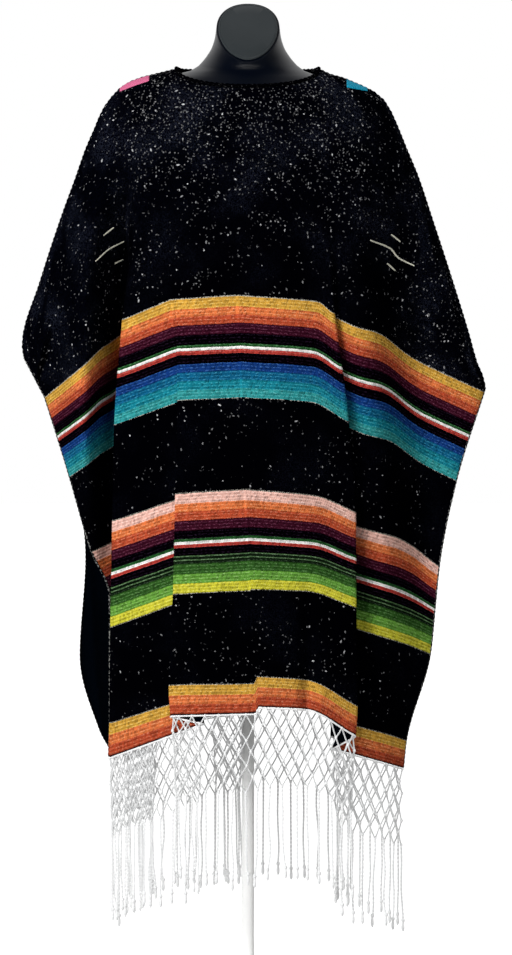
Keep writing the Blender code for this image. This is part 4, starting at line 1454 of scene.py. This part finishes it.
    def surface(self) -> tuple[Array, Array]:
        """The panel's middle surface and its cloth coordinates.

        Above the table's first weft each row is a blend of the top edge and that weft; below
        it each row is read from the table. The second cloth coordinate is the true distance
        along each warp thread, the first the distance along one weft from the centre.

        Returns:
            rows by columns by 3, and rows by columns by 2.
        """
        top_x, top_z, on_seam, at = self.top_edge()
        near_corner = np.clip(np.minimum(at, at[-1] - at) / CORNER_REACH, 0, 1)
        number = np.arange(self.upper_rows) / self.upper_rows
        share = number[:, None] ** (1 + near_corner[None, :])
        opening = np.stack([rise(number, start, 1) for start in PLEAT_START], axis=-1)
        first = self.table(np.full(self.upper_rows, self.wefts[0].warp))
        x, z, layer = self.weft_rows(first, opening)
        x = top_x + (x - top_x) * share
        z = top_z + (z - top_z) * share
        y, z = self.rippled(x, z)
        y[0] = np.where(on_seam, 0, y[0])
        layer[0] = 0
        upper = self.place(x, y, z, layer)
        warp = np.linspace(self.wefts[0].warp, self.wefts[-1].warp, self.lower_rows + 1)
        x, z, layer = self.weft_rows(self.table(warp), np.ones((warp.size, 3)))
        y, z = self.rippled(x, z)
        lower = self.place(x, y, z, layer)
        points = np.concatenate([upper, lower])
        steps = np.linalg.norm(np.diff(points[:self.upper_rows + 1], axis=0), axis=-1)
        above = warp[0] - np.cumsum(steps[::-1], axis=0)[::-1]
        v = np.concatenate([above, np.broadcast_to(warp[:, None], (warp.size, x.shape[1]))])
        across = np.linalg.norm(np.diff(points, axis=1), axis=-1)
        u = np.concatenate([np.zeros((v.shape[0], 1)), np.cumsum(across, axis=1)], axis=1)
        middle = self.plan.stations()[5]
        return points, np.stack([u - u[:, middle:middle + 1], v], axis=-1)

    def place(self, x: Array, y: Array, z: Array, layer: Array) -> Array:
        """Points of the rows; a pleat's layers lie apart square to the cloth, not along y.

        Args:
            x, y, z: where each point runs, y as its depth.
            layer: how far each lies under the top layer.

        Returns:
            rows by columns by 3.
        """
        slope = (CLOTH.depth(x + SLOPE_REACH, z, self.side)
                 - CLOTH.depth(x - SLOPE_REACH, z, self.side)) / (2 * SLOPE_REACH)
        spread = np.minimum(np.hypot(1, slope), LAYER_SPREAD_MAX)
        depth = y - np.minimum(layer * spread, LAYER_SHARE_MAX * y) + SEAM_HALF
        return np.stack([x, self.side.value * depth, z], axis=-1)

    def outer_depth(self, x: Array, z: Array) -> Array:
        """The y of the cloth's middle at x, z, from the plane of the nearest grid point.

        Args:
            x, z: the places, in a row, away from the pleats' edges.

        Returns:
            y for each.
        """
        normal = grid_normals(self.points).reshape(-1, 3)
        flat = self.points.reshape(-1, 3)
        gap = (flat[None, :, 0] - x[:, None]) ** 2 + (flat[None, :, 2] - z[:, None]) ** 2
        near = np.argmin(gap, axis=1)
        base, tilt = flat[near], normal[near]
        across = tilt[:, 0] * (x - base[:, 0]) + tilt[:, 2] * (z - base[:, 2])
        return base[:, 1] - across / tilt[:, 1]

    def neck_edge(self) -> tuple[Array, Array]:
        """The panel's edge along the neck.

        Returns:
            the neckline, and at each of its points the way from the cloth into the opening.
        """
        stops = self.plan.stations()
        part = slice(stops[4], stops[8] + 1)
        edge = self.points[0, part]
        below = self.points[round(NECK_LOOK_BACK * self.upper_rows), part]
        return edge, edge - below

    def seam_edges(self) -> tuple[Array, Array]:
        """The left and the right shoulder seam line, from the neck outwards."""
        stops = self.plan.stations()
        return self.points[0, :stops[4] + 1][::-1], self.points[0, stops[8]:]

    def build(self, outer: Surface, inner: Surface) -> Piece:
        """The panel with its thickness.

        Args:
            outer, inner: the woven face and the plain inside.

        Returns:
            the panel.
        """
        skin = Skin()
        skin.add_grid(self.points, self.cloth, flip=self.side is Side.BACK)
        made = skin.build(self.name)
        thick = made.modifiers.new("Cloth", "SOLIDIFY")
        thick.thickness = WALL
        thick.offset = 0
        thick.use_even_offset = False
        thick.material_offset = 1
        thick.material_offset_rim = 0
        return settle(made, [outer, inner], self.node)

    def build_selvedges(self, surface: Surface) -> Piece:
        """The two rolled selvedges, down the free side edges.

        Args:
            surface: the edge yarn.

        Returns:
            both as one piece.
        """
        skin = Skin()
        roll = Roll(0.0016, 0.22, 0.0075, 7, 0.0019)
        for column, turn in ((0, 1), (-1, -1)):
            down = self.cloth[:, column, 1]
            roll.add(skin, self.points[:, column], self.side.outward(), turn, down)
        made = skin.build(self.name.replace("cloth", "selvedges"))
        return settle(made, [surface])


def run(stops_x: tuple[Array, ...], stops_z: tuple[Array, ...],
        spacings: tuple[Array, ...], layer: Array) -> Array:
    """Columns from stop to stop on every row: x by the spacings, z on a curve through the stops.

    Args:
        stops_x, stops_z: the stops, each a column of one value per row.
        spacings: shares from each stop to the next.
        layer: the depth of the layer, a column of one value per row.

    Returns:
        3 by rows by columns: x, z and layer depth.
    """
    parts = [stops_x[0]]
    for start, end, spacing in zip(stops_x, stops_x[1:], spacings):
        parts.append(start + (end - start) * spacing[None, 1:])
    x = np.concatenate(parts, axis=1)
    z = monotone_rows(np.concatenate(stops_x, axis=1), np.concatenate(stops_z, axis=1), x)
    return np.stack([x, z, np.broadcast_to(layer, x.shape)])


# ---------------- binding, seams, fringe


@dataclass
class NeckBinding:
    """The crocheted edge round the neck opening: a closed knobbly roll."""

    front: WovenPanel
    back: WovenPanel
    radius: float = 0.0030
    lift: float = 0.0016
    gap: float = 0.0006
    corner_drop: float = 0.0022
    stitch: float = 0.0085
    knobs: Triple = (0.86, 0.30, 0.10)   # shares of the radius: plain, a and b
    corner_width: float = 0.014
    blur: float = 15.0        # steps over which the line is smoothed
    around: int = 16
    steps: int = 900

    def path(self) -> Array:
        """The roll's line, just past the panels' neck edges, smoothed by a bell of weights.

        Returns:
            steps by 3, evenly spaced and closed.
        """
        loops = []
        for panel in (self.front, self.back):
            edge, inward = panel.neck_edge()
            along = unit(np.gradient(edge, axis=0))
            inward = unit(inward - along * np.sum(inward * along, axis=1, keepdims=True))
            out = np.cross(along, inward)
            out *= np.sign(out[:, 2:] + panel.side.value * out[:, 1:2])
            loops.append(edge + inward * (self.radius + self.gap) + out * self.lift)
        front_loop, back_loop = loops
        left = (front_loop[0] + back_loop[0]) / 2
        right = (front_loop[-1] + back_loop[-1]) / 2
        loop = np.concatenate([[left], front_loop[1:-1], [right], back_loop[::-1][1:-1], [left]])
        distance = walked(loop)
        at = np.linspace(0, distance[-1], self.steps, endpoint=False)
        line = read_line(loop, distance, at)
        reach = round(2.4 * self.blur)
        spread = np.arange(-reach, reach + 1)
        weight = np.exp(-(spread / self.blur) ** 2)
        line = sum(w * np.roll(line, int(s), axis=0) for s, w in zip(spread, weight)) / weight.sum()
        near_corner = np.exp(-(((np.abs(line[:, 0]) - NECK_HALF) / self.corner_width) ** 2))
        line[:, 2] -= self.corner_drop * near_corner
        return line

    def build(self, surface: Surface) -> Piece:
        """The roll: radius r (1 + a |sin(pi s / stitch + angle / 2)| + b cos(2 pi s / stitch)).

        Args:
            surface: the knop yarn.

        Returns:
            the binding.
        """
        line = self.path()
        length = float(np.linalg.norm(np.diff(np.vstack([line, line[:1]]), axis=0), axis=1).sum())
        stitches = round(length / self.stitch)
        phase = 2 * np.pi * stitches * np.arange(self.steps) / self.steps
        angle = 2 * np.pi * np.arange(self.around) / self.around
        knob = np.abs(np.sin(phase[:, None] / 2 + angle[None, :] / 2))
        plain, a, b = self.knobs
        swell = self.radius * (plain + a * knob + b * np.cos(phase)[:, None])
        rings = tube_rings(line[None], UP, swell[None], self.around, cyclic=True)
        skin = Skin()
        skin.add_tubes(rings, np.linspace(0, length, self.steps, endpoint=False)[None], cyclic=True)
        made = skin.build("neck_binding_crochet")
        return settle(made, [surface], "neck_binding")


@dataclass
class ShoulderSeams:
    """The two overcast shoulder seams, from the neck to the side points."""

    roll: Roll = Roll(0.0019, 0.25, 0.0082, 8, 0.0018, 0.002)

    def build(self, front: WovenPanel, surface: Surface) -> Piece:
        """Knobbly rolls centred on the seam plane.

        Args:
            front: a panel whose top edge gives the seam's line.
            surface: the knop yarn.

        Returns:
            both seams as one piece.
        """
        skin = Skin()
        for line in front.seam_edges():
            self.roll.add(skin, line * [1, 0, 1], Side.BACK.outward())
        made = skin.build("shoulder_seam_rolls")
        return settle(made, [surface])


@dataclass
class KnottedFringe:
    """White cotton fringe: a header along the hem, a knotted diamond net, and hanging cords."""

    panel: WovenPanel
    seed: int
    hem_gap: float = 0.0021       # the header lies this far under the hem
    inset: float = 0.002          # from a corner of the cloth to the nearest knot
    pitch: float = 0.0220         # between two knots of a row
    rows: int = 6                 # half-diamonds from the header to the last knots
    row_drop: float = 0.0205
    header: Triple = (0.0015, 0.12, 0.0045)   # radius, knob and stitch
    net_radius: float = 0.0012
    knot: tuple[float, float] = (0.0024, 0.0034)                  # radius and half-height
    top_knot: tuple[float, float] = (0.0021, 0.0024)
    end_knot: tuple[float, float] = (0.0031, 0.0042)
    stray: Triple = (0.0011, 0.0009, 0.0006)  # a knot's: along, down and out
    even_out: tuple[float, float] = (0.002, 0.0022)   # hem to either side that shapes a row, per row
    sag: float = 0.0009           # of a net cord, and its bow outwards
    bow: float = 0.0008
    ply_radius: float = 0.0010
    ply_turn: float = 0.013       # length of one twist of the two plies
    drop: float = 0.249           # hem to fringe ends at the sides
    drop_middle: float = 0.016    # how much longer it is at the centre
    middle_width: float = 0.12
    end_stray: float = 0.004      # how much the cords' lengths differ

    def __post_init__(self) -> None:
        """Starts the skin, and finds the header's line and the distance walked along it."""
        self.skin = Skin()
        self.outward = self.panel.side.outward()
        self.line = self.panel.points[-1] - [0, 0, self.hem_gap]
        self.distance = walked(self.line)

    def knots(self) -> list[Array]:
        """The net's knots row by row: under the hem's own line, every other row shifted.

        Returns:
            one array of points for each row; even rows hold one knot more than odd ones.
        """
        rng = np.random.default_rng(self.seed)
        length = self.distance[-1]
        count = round((length - 2 * self.inset) / self.pitch)
        pitch = (length - 2 * self.inset) / count
        along, down, out = self.stray
        found = []
        for row in range(self.rows + 1):
            odd = row % 2
            at = self.inset + pitch * (np.arange(count + 1 - odd) + 0.5 * odd)
            if row:
                at = at + rng.normal(0, along, at.size)
            reach = self.even_out[0] + self.even_out[1] * row
            near = [np.clip(at + shift * reach, 0, length) for shift in (-1, -0.5, 0, 0.5, 1)]
            points = np.mean([read_line(self.line, self.distance, n) for n in near], axis=0)
            points[:, 2] -= row * self.row_drop + (rng.normal(0, down, at.size) if row else 0)
            points[:, 1] += rng.normal(0, out, at.size)
            found.append(points)
        return found

    def build(self, surface: Surface) -> Piece:
        """The whole fringe as one piece.

        Args:
            surface: the cotton.

        Returns:
            the fringe.
        """
        knots = self.knots()
        self.add_header()
        self.add_net(knots)
        self.add_cords(knots[-1])
        made = self.skin.build(self.panel.name.replace("cloth", "fringe_net"))
        return settle(made, [surface], self.panel.node.replace("panel", "fringe"))

    def add_header(self) -> None:
        """The header: one cord along the hem, of radius r (1 + knob cos(2 pi s / stitch))."""
        at = np.linspace(0, self.distance[-1], 520)
        radius, knob, stitch = self.header
        swell = radius * (1 + knob * np.cos(2 * np.pi * at / stitch))
        centres = read_line(self.line, self.distance, at)[None]
        self.skin.add_tubes(tube_rings(centres, UP, swell[None], 6), at[None])

    def add_net(self, knots: list[Array]) -> None:
        """Net cords and knots.

        A net cord is a line from knot to knot that sags by a sine and bows outwards by
        another; a knot is a short tube whose radius swells and closes as a half sine.

        Args:
            knots: the knots' places, row by row.
        """
        rng = np.random.default_rng(self.seed + 1)
        share = shares(6)
        for row, (upper, lower) in enumerate(zip(knots, knots[1:])):
            n = np.arange(min(upper.shape[0], lower.shape[0]))
            pairs = ((n, n), (n + 1, n)) if row % 2 == 0 else ((n, n), (n, n + 1))
            for turn, (a, b) in zip((-1, 1), pairs):
                start, end = upper[a], lower[b]
                line = start[:, None, :] + (end - start)[:, None, :] * share[None, :, None]
                bow = np.sin(np.pi * share)[None, :, None]
                line = line + self.outward * (self.bow * turn) * bow
                sag = self.sag * np.abs(rng.normal(1, 0.5, start.shape[0]))
                line[:, :, 2] -= sag[:, None] * bow[..., 0]
                radius = np.full(line.shape[:2], self.net_radius)
                length = np.broadcast_to(share * 0.025, line.shape[:2])
                self.skin.add_tubes(tube_rings(line, self.outward, radius, 6), length, NET_TURN)
        for row, points in enumerate(knots):
            self.add_knots(points, *(self.knot if row else self.top_knot))

    def add_knots(self, points: Array, radius: float, half_height: float) -> None:
        """Small closed knots, upright, swelling as sin(pi s) to the power 0.6.

        Args:
            points: their middles.
            radius, half_height: their size.
        """
        share = np.array([0.06, 0.25, 0.5, 0.75, 0.94])
        place = (0.5 - share) * 2 * half_height
        line = np.repeat(points[:, None, :], share.size, axis=1)
        line[:, :, 2] += place[None, :]
        swell = np.broadcast_to(radius * np.sin(np.pi * share) ** 0.6, line.shape[:2])
        length = np.broadcast_to(share * 0.006, line.shape[:2])
        self.skin.add_tubes(tube_rings(line, self.outward, swell, 6), length)

    def add_cords(self, tops: Array) -> None:
        """Hanging cords: two plies wound round a nearly straight line, with a knot and a tuft.

        A ply's centre is the line plus r (cos(2 pi s / turn), sin(2 pi s / turn)) in plan.

        Args:
            tops: the last row of knots.
        """
        rng = np.random.default_rng(self.seed + 2)
        count = tops.shape[0]
        hem_z = np.interp(np.linspace(0, 1, count) * self.distance[-1], self.distance, self.line[:, 2])
        middle = np.exp(-((tops[:, 0] / self.middle_width) ** 2))
        end_z = hem_z - self.drop - self.drop_middle * middle + rng.normal(0, self.end_stray, count)
        share = shares(58)
        lean = rng.normal(0, 0.0022, (count, 2))
        wave = rng.normal(0, 0.0009, (count, 2))
        turns = rng.uniform(0, 2 * np.pi, count)[:, None]
        centre = np.repeat(tops[:, None, :], share.size, axis=1)
        length = (tops[:, 2] - end_z)[:, None] * share[None, :]
        centre[:, :, 2] -= length
        for axis in (0, 1):
            swing = np.sin(2 * np.pi * share * 1.3 + turns)
            drift = lean[:, axis:axis + 1] * share + wave[:, axis:axis + 1] * swing
            centre[:, :, axis] += drift * share ** 0.5
        spin = 2 * np.pi * length / self.ply_turn + turns
        radius = np.full(spin.shape, self.ply_radius)
        for half in (0, np.pi):
            ply = centre.copy()
            ply[:, :, 0] += self.ply_radius * 0.92 * np.cos(spin + half)
            ply[:, :, 1] += self.ply_radius * 0.92 * np.sin(spin + half)
            self.skin.add_tubes(tube_rings(ply, self.outward, radius, 5), length)
        low = centre[:, -1].copy()
        self.add_knots(low + [0, 0, 0.006], *self.end_knot)
        tuft = np.repeat(low[:, None, :], 5, axis=1)
        tuft[:, :, 2] -= np.array([-0.003, 0.001, 0.005, 0.009, 0.012])
        splay = np.broadcast_to(np.array([0.0018, 0.0024, 0.0027, 0.0024, 0.0008]), tuft.shape[:2])
        length = np.broadcast_to(shares(4) * 0.015, tuft.shape[:2])
        self.skin.add_tubes(tube_rings(tuft, self.outward, splay, 7), length)


# ---------------- woven-in marks


@dataclass(frozen=True)
class Stroke:
    """One woven dash on the front, as the x and z of the points it runs through."""

    places: tuple[tuple[float, float], ...]


STROKES = (
    Stroke(((-0.2432, 1.1408), (-0.2224, 1.16), (-0.1984, 1.1728))),
    Stroke(((-0.2304, 1.1824), (-0.2144, 1.1952))),
    Stroke(((-0.2128, 1.1376), (-0.2, 1.144))),
    Stroke(((0.1952, 1.1744), (0.2272, 1.1616), (0.24, 1.1472), (0.2656, 1.1344))),
    Stroke(((0.2288, 1.184), (0.2432, 1.1728))),
    Stroke(((0.2224, 1.1376), (0.2352, 1.1264))),
)


@dataclass
class WovenMarks:
    """The cream dashes, and the pink and aqua ends of yarn beside the shoulder seams."""

    radius: float = 0.0014
    proud: float = 0.0008           # a dash's middle over the cloth's face
    patch_proud: float = 0.0009
    patch_thickness: float = 0.0012

    def dashes(self, panels: tuple[WovenPanel, ...], surface: Surface) -> Piece:
        """The dashes: flattened tubes that lie on the cloth's outer face.

        Args:
            panels: the panels that carry them.
            surface: the cream yarn.

        Returns:
            all the dashes as one piece.
        """
        skin = Skin()
        for panel in panels:
            out = panel.side.outward()
            for stroke in STROKES:
                knots = np.array(stroke.places)
                at = np.linspace(knots[0, 0], knots[-1, 0], 24)
                z = monotone(knots[:, 0], knots[:, 1], at)
                y = panel.outer_depth(at, z) + out[1] * (WALL / 2 + self.proud)
                line = np.stack([at, y, z], axis=-1)
                radius = self.radius * (0.75 + 0.25 * np.sin(np.pi * shares(23)))
                rings = tube_rings(line[None], out, radius[None], 8, 0.7)
                skin.add_tubes(rings, walked(line)[None])
        return settle(skin.build("cream_dashes"), [surface])

    def patch(self, name: str, sides: tuple[tuple[float, float], ...], sign: int,
              surface: Surface) -> Piece:
        """Weft ends of another colour beside a shoulder seam, on both panels.

        The patch is a grid from just under the seam's ridge down to a lower edge, laid on the
        cloth and raised along its normal.

        Args:
            name: the piece's name.
            sides: x and lower z at each of its knots.
            sign: -1 for the left shoulder, 1 for the right.
            surface: the yarn.

        Returns:
            the patch.
        """
        skin = Skin()
        knots = np.array(sides)
        x = np.linspace(knots[0, 0], knots[-1, 0], 34)
        low = monotone(knots[:, 0], knots[:, 1], x)
        heights = np.linspace(1.36, 1.4489, 500)
        ridge = CLOTH.read("left" if sign < 0 else "right", heights)
        top = np.interp(-np.abs(x), -ridge, heights) - 0.0010
        share = shares(12)[:, None]
        z = top[None, :] + (np.minimum(low, top - 0.0006) - top)[None, :] * share ** 1.6
        grid_x = np.broadcast_to(x, z.shape)
        for side in Side:
            y = side.value * (CLOTH.depth(grid_x, z, side) + SEAM_HALF)
            points = np.stack([grid_x, y, z], axis=-1)
            normal = grid_normals(points)
            normal *= np.sign(normal[..., 2:])
            points = points + normal * (WALL / 2 + self.patch_proud)
            cloth = np.stack([grid_x, np.broadcast_to(share * 0.03, z.shape)], axis=-1)
            skin.add_grid(points, cloth, flip=side is Side.BACK)
        made = settle(skin.build(name), [surface])
        thick = made.modifiers.new("Yarn", "SOLIDIFY")
        thick.thickness = self.patch_thickness
        thick.offset = -1
        return made


# ---------------- the torso and its stand


@dataclass
class DisplayTorso:
    """The headless torso: rings from its flat bottom to its slanted neck cut, and the cap."""

    around: int = 112
    ring_step: float = 0.011
    shrink: float = 0.0006
    cap_share: float = 0.94
    cut_shift: float = 0.0060       # the cut is widest this far behind its middle
    cut_front: float = 1.88         # power of the cut's outline, pointed in front
    cut_back: float = 2.20          # and squarer behind

    def outline(self, angle: Array, share: Array) -> tuple[Array, Array]:
        """The neck's rounded outline, an ellipse at its foot and a shield at its cut.

        Its power moves from 2 to its front or back value as the share goes from 0 to 1.

        Args:
            angle: round the neck, the front at negative sines.
            share: how far up the neck, 0 to 1.

        Returns:
            x and y as shares of the half-width and of the reach.
        """
        power = np.where(np.sin(angle) < 0, self.cut_front, self.cut_back)
        return rounded(angle, 2 + (power - 2) * share)

    def rings(self) -> Array:
        """The torso's outline at every height.

        Below the neck a ring is a level rounded outline, as wide and deep as the form is
        there. Up the neck it is an oval that leans: z rises evenly from front to back.

        Returns:
            rings by points round by 3.
        """
        angle = np.linspace(0, 2 * math.pi, self.around, endpoint=False)[None, :]
        cos, sin = np.cos(angle), np.sin(angle)
        low, high = TORSO.columns["z"][0], TORSO.columns["z"][-1]
        close = [low, low + 0.0015, low + 0.004]
        z = np.concatenate([close, np.arange(low + 0.008, high, self.ring_step), [high]])[:, None]
        width = np.where(cos < 0, TORSO.read("left", z), TORSO.read("right", z)) - self.shrink
        depth = np.where(sin < 0, TORSO.read("front", z), TORSO.read("back", z)) - self.shrink
        flat_x, flat_y = rounded(angle, TORSO.read("power", z))
        body = np.stack([width * flat_x, depth * flat_y, np.broadcast_to(z, flat_x.shape)], axis=-1)
        knots = np.arange(len(NECK_RINGS), dtype=float)
        at = np.linspace(0, knots[-1], 29)
        neck = {item.name: monotone(knots, [getattr(ring, item.name) for ring in NECK_RINGS], at)[:, None]
                for item in fields(NeckRing)}
        share = (at / knots[-1])[:, None]
        shift = self.cut_shift * share
        flat_x, flat_y = self.outline(angle, share)
        y = shift + np.where(sin < 0, neck["front"] + shift, neck["back"] - shift) * flat_y
        lean = (neck["back_z"] - neck["front_z"]) / (neck["back"] + neck["front"])
        z = neck["front_z"] + lean * (y + neck["front"])
        return np.concatenate([body, np.stack([neck["half_width"] * flat_x, y, z], axis=-1)])

    def shell(self, surface: Surface) -> Piece:
        """The torso's shell, closed at its bottom and its neck cut.

        Args:
            surface: its gloss.

        Returns:
            the shell.
        """
        rings = self.rings()
        skin = Skin()
        skin.add_tubes(rings[None], rings[:, :, 2].mean(axis=1)[None])
        made = skin.build("display_torso_shell", 40)
        return settle(made, [surface], "form_torso")

    def cap(self, surface: Surface) -> Piece:
        """The oval plate on the neck cut: a low turned profile squashed to the cut's oval.

        The profile runs from the plate's underside round its rounded rim and over a shallow
        groove to its middle, as shares of the half-width and heights over the cut.

        Args:
            surface: its paint.

        Returns:
            the plate.
        """
        rim = NECK_RINGS[-1]
        profile = np.array([
            (0.96, 0.0003), (0.99, 0.0006), (1.0, 0.0014), (0.993, 0.0024), (0.975, 0.0030),
            (0.945, 0.0031), (0.935, 0.0027), (0.925, 0.0031), (0.6, 0.0034), (0.3, 0.0036)])
        angle = np.linspace(0, 2 * math.pi, 128, endpoint=False)
        run_y, run_z = rim.front + rim.back, rim.back_z - rim.front_z
        along = np.array([0.0, run_y, run_z])
        half_length = np.linalg.norm(along) / 2
        along = along / np.linalg.norm(along)
        normal = np.array([0.0, -along[2], along[1]])
        centre = np.array([0.0, (rim.back - rim.front) / 2, (rim.front_z + rim.back_z) / 2])
        share, height = profile[:, 0, None, None], profile[:, 1, None, None]
        shift = self.cut_shift * half_length / (run_y / 2)
        flat_x, flat_y = self.outline(angle, np.ones(1))
        reach = np.where(np.sin(angle) < 0, half_length + shift, half_length - shift)
        x = self.cap_share * rim.half_width * share * flat_x[None, :, None] * np.array([1.0, 0, 0])
        y = (shift + self.cap_share * share * (reach * flat_y)[None, :, None]) * along
        rings = centre + x + y + height * normal
        skin = Skin()
        skin.add_tubes(rings[None], np.linspace(0, 0.05, profile.shape[0])[None])
        made = skin.build("neck_cap_plate", 35)
        return settle(made, [surface], "form_neck_cap")


def dress_node(name: str, surface: Surface) -> None:
    """Gives a carried-over node of the frame its finish.

    Args:
        name: the node's name.
        surface: the finish.
    """
    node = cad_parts[name]
    if not node.material_slots:
        node.data.materials.append(surface)
    for place in node.material_slots:
        place.material = surface


# ---------------- the studio


@dataclass(frozen=True)
class SoftLight:
    """A square soft light: where it stands, what it faces, its size and its power."""

    name: str
    place: Triple
    target: Triple
    size: float
    power: float

    def make(self) -> None:
        """Adds the light."""
        data = bpy.data.lights.new(self.name, "AREA")
        data.shape = "SQUARE"
        data.size = self.size
        data.energy = self.power
        made = bpy.data.objects.new(self.name, data)
        bpy.context.scene.collection.objects.link(made)
        made.location = self.place
        made.rotation_euler = look(self.place, self.target)
        made.visible_glossy = False


def look(place: Triple, target: Triple) -> object:
    """The turn that faces an object's -Z from place to target."""
    return (Vector(target) - Vector(place)).to_track_quat("-Z", "Y").to_euler()


@dataclass
class Studio:
    """A pale floor, white surroundings, soft lights and the camera."""

    distance: float = 34.0          # far enough for a flat view, near enough for other views' clip
    view_height: float = 1.528      # metres covered from top to bottom of the frame
    sensor: float = 36.0            # millimetres
    aim: Triple = (0.0128, 0.0, 0.796)
    lights: tuple[SoftLight, ...] = (
        SoftLight("key", (-2.2, -3.2, 2.3), (0.0, 0.0, 0.85), 1.9, 244),
        SoftLight("side", (3.9, -0.9, 1.7), (0.0, 0.0, 0.85), 1.5, 35),
        SoftLight("top", (0.3, -0.6, 4.2), (0.0, 0.0, 1.2), 2.2, 35),
    )
    room_front: float = 0.015       # how bright the room is towards the camera
    room_rest: float = 0.95

    def build(self) -> None:
        """Makes all of it, the camera first."""
        data = bpy.data.cameras.new("camera")
        data.sensor_width = self.sensor
        data.sensor_fit = "AUTO"
        data.lens = self.sensor * self.distance / self.view_height
        data.clip_end = 2000
        camera = bpy.data.objects.new("camera", data)
        bpy.context.scene.collection.objects.link(camera)
        place = (self.aim[0], self.aim[1] - self.distance, self.aim[2])
        camera.location = place
        camera.rotation_euler = look(place, self.aim)
        bpy.context.scene.camera = camera
        bpy.context.scene.view_settings.view_transform = "Standard"
        for light in self.lights:
            light.make()
        self.room()
        self.floor()

    def room(self) -> None:
        """White all round, but dimmer in front of the object as a light for it."""
        world = bpy.data.worlds.new("white_surroundings")
        b = NodeBench(world)
        around = Signal(b, b.node("ShaderNodeTexCoord").outputs["Generated"])
        depth = b.wired(b.node("ShaderNodeSeparateXYZ"), {0: around}, "Y")
        dim = b.wired(b.node("ShaderNodeMapRange", interpolation_type="SMOOTHSTEP"), {
            "Value": depth, "From Min": 0.00, "From Max": 0.60,
            "To Min": self.room_front, "To Max": self.room_rest})
        b.feed(b.math("MAXIMUM", dim, b.seen()), b.shader.inputs["Strength"])
        b.feed((1, 1, 1, 1), b.shader.inputs["Color"])
        bpy.context.scene.world = world

    @staticmethod
    def floor() -> None:
        """A wide round floor: a shallow disc whose rings widen as the fourth power."""
        radius = (600 * shares(16)[1:] ** 4)[:, None]
        angle = np.linspace(0, 2 * math.pi, 96, endpoint=False)[None, :]
        top = np.stack([radius * np.cos(angle), radius * np.sin(angle), np.zeros((16, 96))], axis=-1)
        rings = np.concatenate([top[-1:] - [0, 0, 0.02], top[::-1]])
        skin = Skin()
        skin.add_tubes(rings[None], np.linspace(0, 1, rings.shape[0])[None])
        made = skin.build("studio_floor")
        pale = SatinPaint((0.45, 0.45, 0.45, 1), (0.46, 0.46, 0.46, 1), 0.8).make("pale_floor")
        b = NodeBench(pale)
        b.feed((1, 1, 1, 1), b.shader.inputs["Emission Color"])
        b.feed(b.seen(), b.shader.inputs["Emission Strength"])
        made.data.materials.append(pale)


# ---------------- building


def report(piece: Piece) -> None:
    """Logs a piece's name and how many faces it has."""
    LOG.info("%s: %d faces", piece.name, len(piece.data.polygons))


def main() -> None:
    logging.basicConfig(level=logging.INFO, format="%(name)s %(message)s")
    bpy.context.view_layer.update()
    Studio().build()

    front = WovenPanel("front_cloth", "front_panel", FRONT_WEFTS, Side.FRONT, 0.032)
    back = WovenPanel("back_cloth", "back_panel", BACK_WEFTS, Side.BACK, 0.008)
    cloths, trims = {}, {}
    shaded_inside = ShadeDarkInside().make("cloth_inside")
    cotton = CottonCord().make("white_cotton")
    knop = KnopYarn().make("black_knop_yarn")
    woven = WovenCloth().make("striped_weave")
    flecked = KnopYarn(fleck=dye(200, 200, 196), share=0.47).make("flecked_edge_yarn")
    for panel, seed, edging in ((front, 11, flecked), (back, 23, knop)):
        cloth = panel.build(woven, shaded_inside)
        selvedges = panel.build_selvedges(edging)
        fringe = KnottedFringe(panel, seed).build(cotton)
        cloths[panel.side], trims[panel.side] = cloth, [selvedges, fringe]
        for piece in (cloth, selvedges, fringe):
            report(piece)

    binding = NeckBinding(front, back).build(knop)
    seams = ShoulderSeams().build(front, knop)
    marks = WovenMarks()
    dashes = marks.dashes((front, back), SolidYarn((255, 252, 232)).make("cream_yarn"))
    pink = marks.patch("pink_yarn_ends", ((-0.204, 1.4125), (-0.1776, 1.4224), (-0.1576, 1.4288)), -1,
                       SolidYarn(Yarn.PINK.value).make("pink_yarn"))
    aqua = marks.patch("aqua_yarn_ends", ((0.1576, 1.4184), (0.1664, 1.4168), (0.1904, 1.4128)), 1,
                       SolidYarn(Yarn.AQUA.value).make("aqua_yarn"))
    torso = DisplayTorso()
    shell = torso.shell(GlossShell().make("black_gloss_shell"))
    cap = torso.cap(SatinPaint((0.018, 0.022, 0.024, 1), (0.023, 0.027, 0.029, 1), 0.50).make("grey_cap"))
    enamel = SatinPaint((0.94, 0.94, 0.93, 1), (0.92, 0.92, 0.91, 1), 0.35).make("white_enamel")
    for node in ("stand_base", "stand_pole"):
        dress_node(node, enamel)
    for piece in (binding, seams, dashes, pink, aqua, shell, cap):
        report(piece)

    for panel, extra in ((front, [binding, seams, dashes, pink, aqua]), (back, [])):
        width = float(panel.cloth[0, -1, 0] - panel.cloth[0, 0, 0])
        length = float(panel.cloth[..., 1].max() - panel.cloth[..., 1].min())
        LOG.info("%s: %.3f wide, %.3f long, %.3f square metres", panel.name, width, length, panel.area)
        trims[panel.side] + extra


if __name__ == "__main__":
    main()
